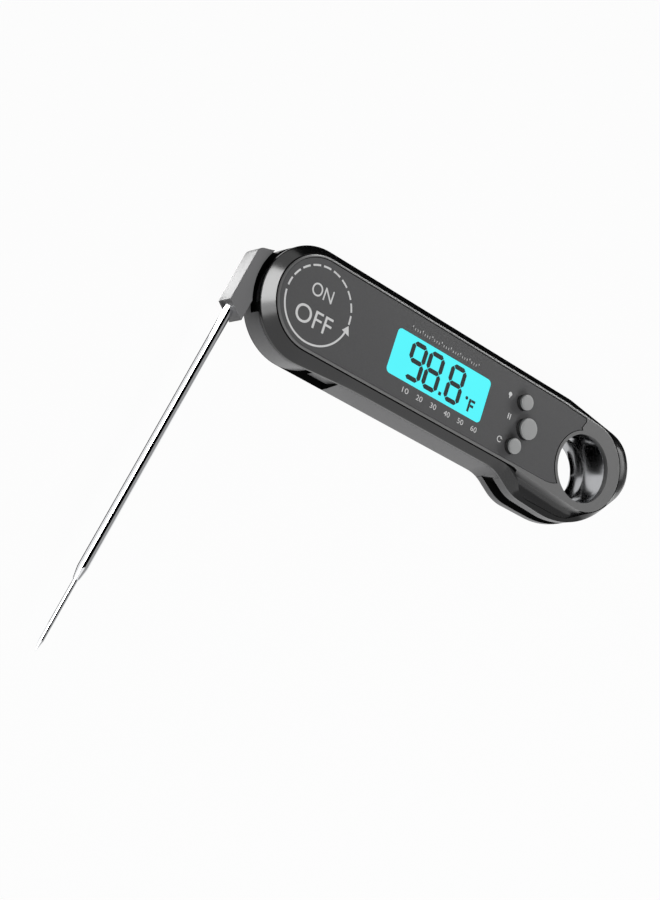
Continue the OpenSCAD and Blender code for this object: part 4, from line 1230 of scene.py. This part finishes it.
def softbox(name, at, aim, width, height, power):
    """A large soft area light."""
    turn = (Vector(at) - Vector(aim)).to_track_quat("Z", "Y").to_euler()
    bpy.ops.object.light_add(type="AREA", location=at, rotation=turn)
    lamp = bpy.context.object
    lamp.name = name
    lamp.data.shape = "RECTANGLE"
    lamp.data.size = width
    lamp.data.size_y = height
    lamp.data.energy = power
    return lamp


def seen_by(tree, *rays):
    """A value of one for the named kinds of ray and of zero for all others."""
    path = node(tree, "ShaderNodeLightPath")
    share = path.outputs[f"Is {rays[0]} Ray"]
    for ray in rays[1:]:
        both = {0: share, 1: path.outputs[f"Is {ray} Ray"]}
        share = node(tree, "ShaderNodeMath", both, operation="MAXIMUM").outputs[0]
    return share


def paper(ink):
    """Matt paper for the floor: almost even white to the eye and in mirrors, pale grey to other light."""
    material = speckled("matt_paper", ink.floor, 0.9, 3.0, 0.0, 0.004, 1.45, Specular_IOR_Level=0.0)
    tree = material.node_tree
    shader = tree.nodes["Principled BSDF"].outputs[0]
    seen = seen_by(tree, "Camera", "Glossy")
    share = node(tree, "ShaderNodeMath", {0: seen, 1: 0.96}, operation="MULTIPLY").outputs[0]
    white = node(tree, "ShaderNodeEmission", {"Color": (1, 1, 1, 1), "Strength": 1.0}).outputs[0]
    lit = node(tree, "ShaderNodeMixShader", {0: share, 1: shader, 2: white})
    tree.links.new(lit.outputs[0], tree.nodes["Material Output"].inputs["Surface"])
    return material


class THERMOMETER_OT_stage(bpy.types.Operator):
    """Sets up the floor, the light and the camera"""
    bl_idname = "thermometer.stage"
    bl_label = "Stage"

    def execute(self, context):
        scene = context.scene
        bpy.ops.object.select_all(action="DESELECT")
        bpy.ops.mesh.primitive_plane_add(size=8, location=(0, 0, -0.0002))
        floor = context.object
        floor.name = "floor"
        floor.data.materials.append(paper(scene.thermo_finish))

        for name, at, aim, width, height, glow in CARDS:
            card(name, at, aim or (*at[:2], 1), width, height, glow)
        # The strip lies along the probe
        bpy.data.objects["probe_strip"].rotation_euler.z = -scene.thermo_probe.lean
        softbox("key_light", (0.41, -0.62, 0.73), MIDDLE, 0.6, 0.6, 10.0).visible_glossy = False

        world = bpy.data.worlds.new("studio")
        scene.world = world
        world.use_nodes = True
        tree = world.node_tree
        tree.nodes.clear()
        seen = seen_by(tree, "Camera", "Glossy", "Transmission")
        soft, white = [node(tree, "ShaderNodeBackground", {"Color": (1, 1, 1, 1), "Strength": level})
                       for level in (0.2, 1.0)]
        mix = node(tree, "ShaderNodeMixShader", {0: seen, 1: soft.outputs[0], 2: white.outputs[0]})
        node(tree, "ShaderNodeOutputWorld", {"Surface": mix.outputs[0]})

        bpy.ops.object.camera_add(location=EYE, rotation=[math.radians(a) for a in EYE_TURN])
        camera = context.object
        camera.data.sensor_fit = "VERTICAL"
        camera.data.sensor_height = FILM_H
        camera.data.lens = LENS
        scene.camera = camera
        scene.view_settings.view_transform = "Standard"
        return {"FINISHED"}


STEPS = [
    THERMOMETER_OT_rear_case, THERMOMETER_OT_front_case, THERMOMETER_OT_bezel, THERMOMETER_OT_face_plate,
    THERMOMETER_OT_display, THERMOMETER_OT_buttons, THERMOMETER_OT_hang_ring, THERMOMETER_OT_arm,
    THERMOMETER_OT_probe, THERMOMETER_OT_battery_cover, THERMOMETER_OT_printing, THERMOMETER_OT_inner_parts,
    THERMOMETER_OT_stage,
]


class THERMOMETER_PT_panel(bpy.types.Panel):
    """Sizes, colours and steps of the thermometer"""
    bl_idname = "THERMOMETER_PT_panel"
    bl_label = "Thermometer"
    bl_space_type = "VIEW_3D"
    bl_region_type = "UI"
    bl_category = "Thermometer"

    def draw(self, context):
        for name, group in GROUPS.items():
            column = self.layout.column(align=True)
            for key in group.__annotations__:
                column.prop(getattr(context.scene, name), key)
        for step in STEPS:
            self.layout.operator(step.bl_idname)


def register():
    for group in (*GROUPS.values(), *STEPS, THERMOMETER_PT_panel):
        bpy.utils.register_class(group)
    for name, group in GROUPS.items():
        setattr(bpy.types.Scene, name, bpy.props.PointerProperty(type=group))


def unregister():
    for name in GROUPS:
        delattr(bpy.types.Scene, name)
    for group in reversed((*GROUPS.values(), *STEPS, THERMOMETER_PT_panel)):
        bpy.utils.unregister_class(group)


def main():
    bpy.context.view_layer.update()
    register()
    for step in STEPS:
        group, name = step.bl_idname.split(".")
        getattr(getattr(bpy.ops, group), name)()


if __name__ == "__main__":
    main()
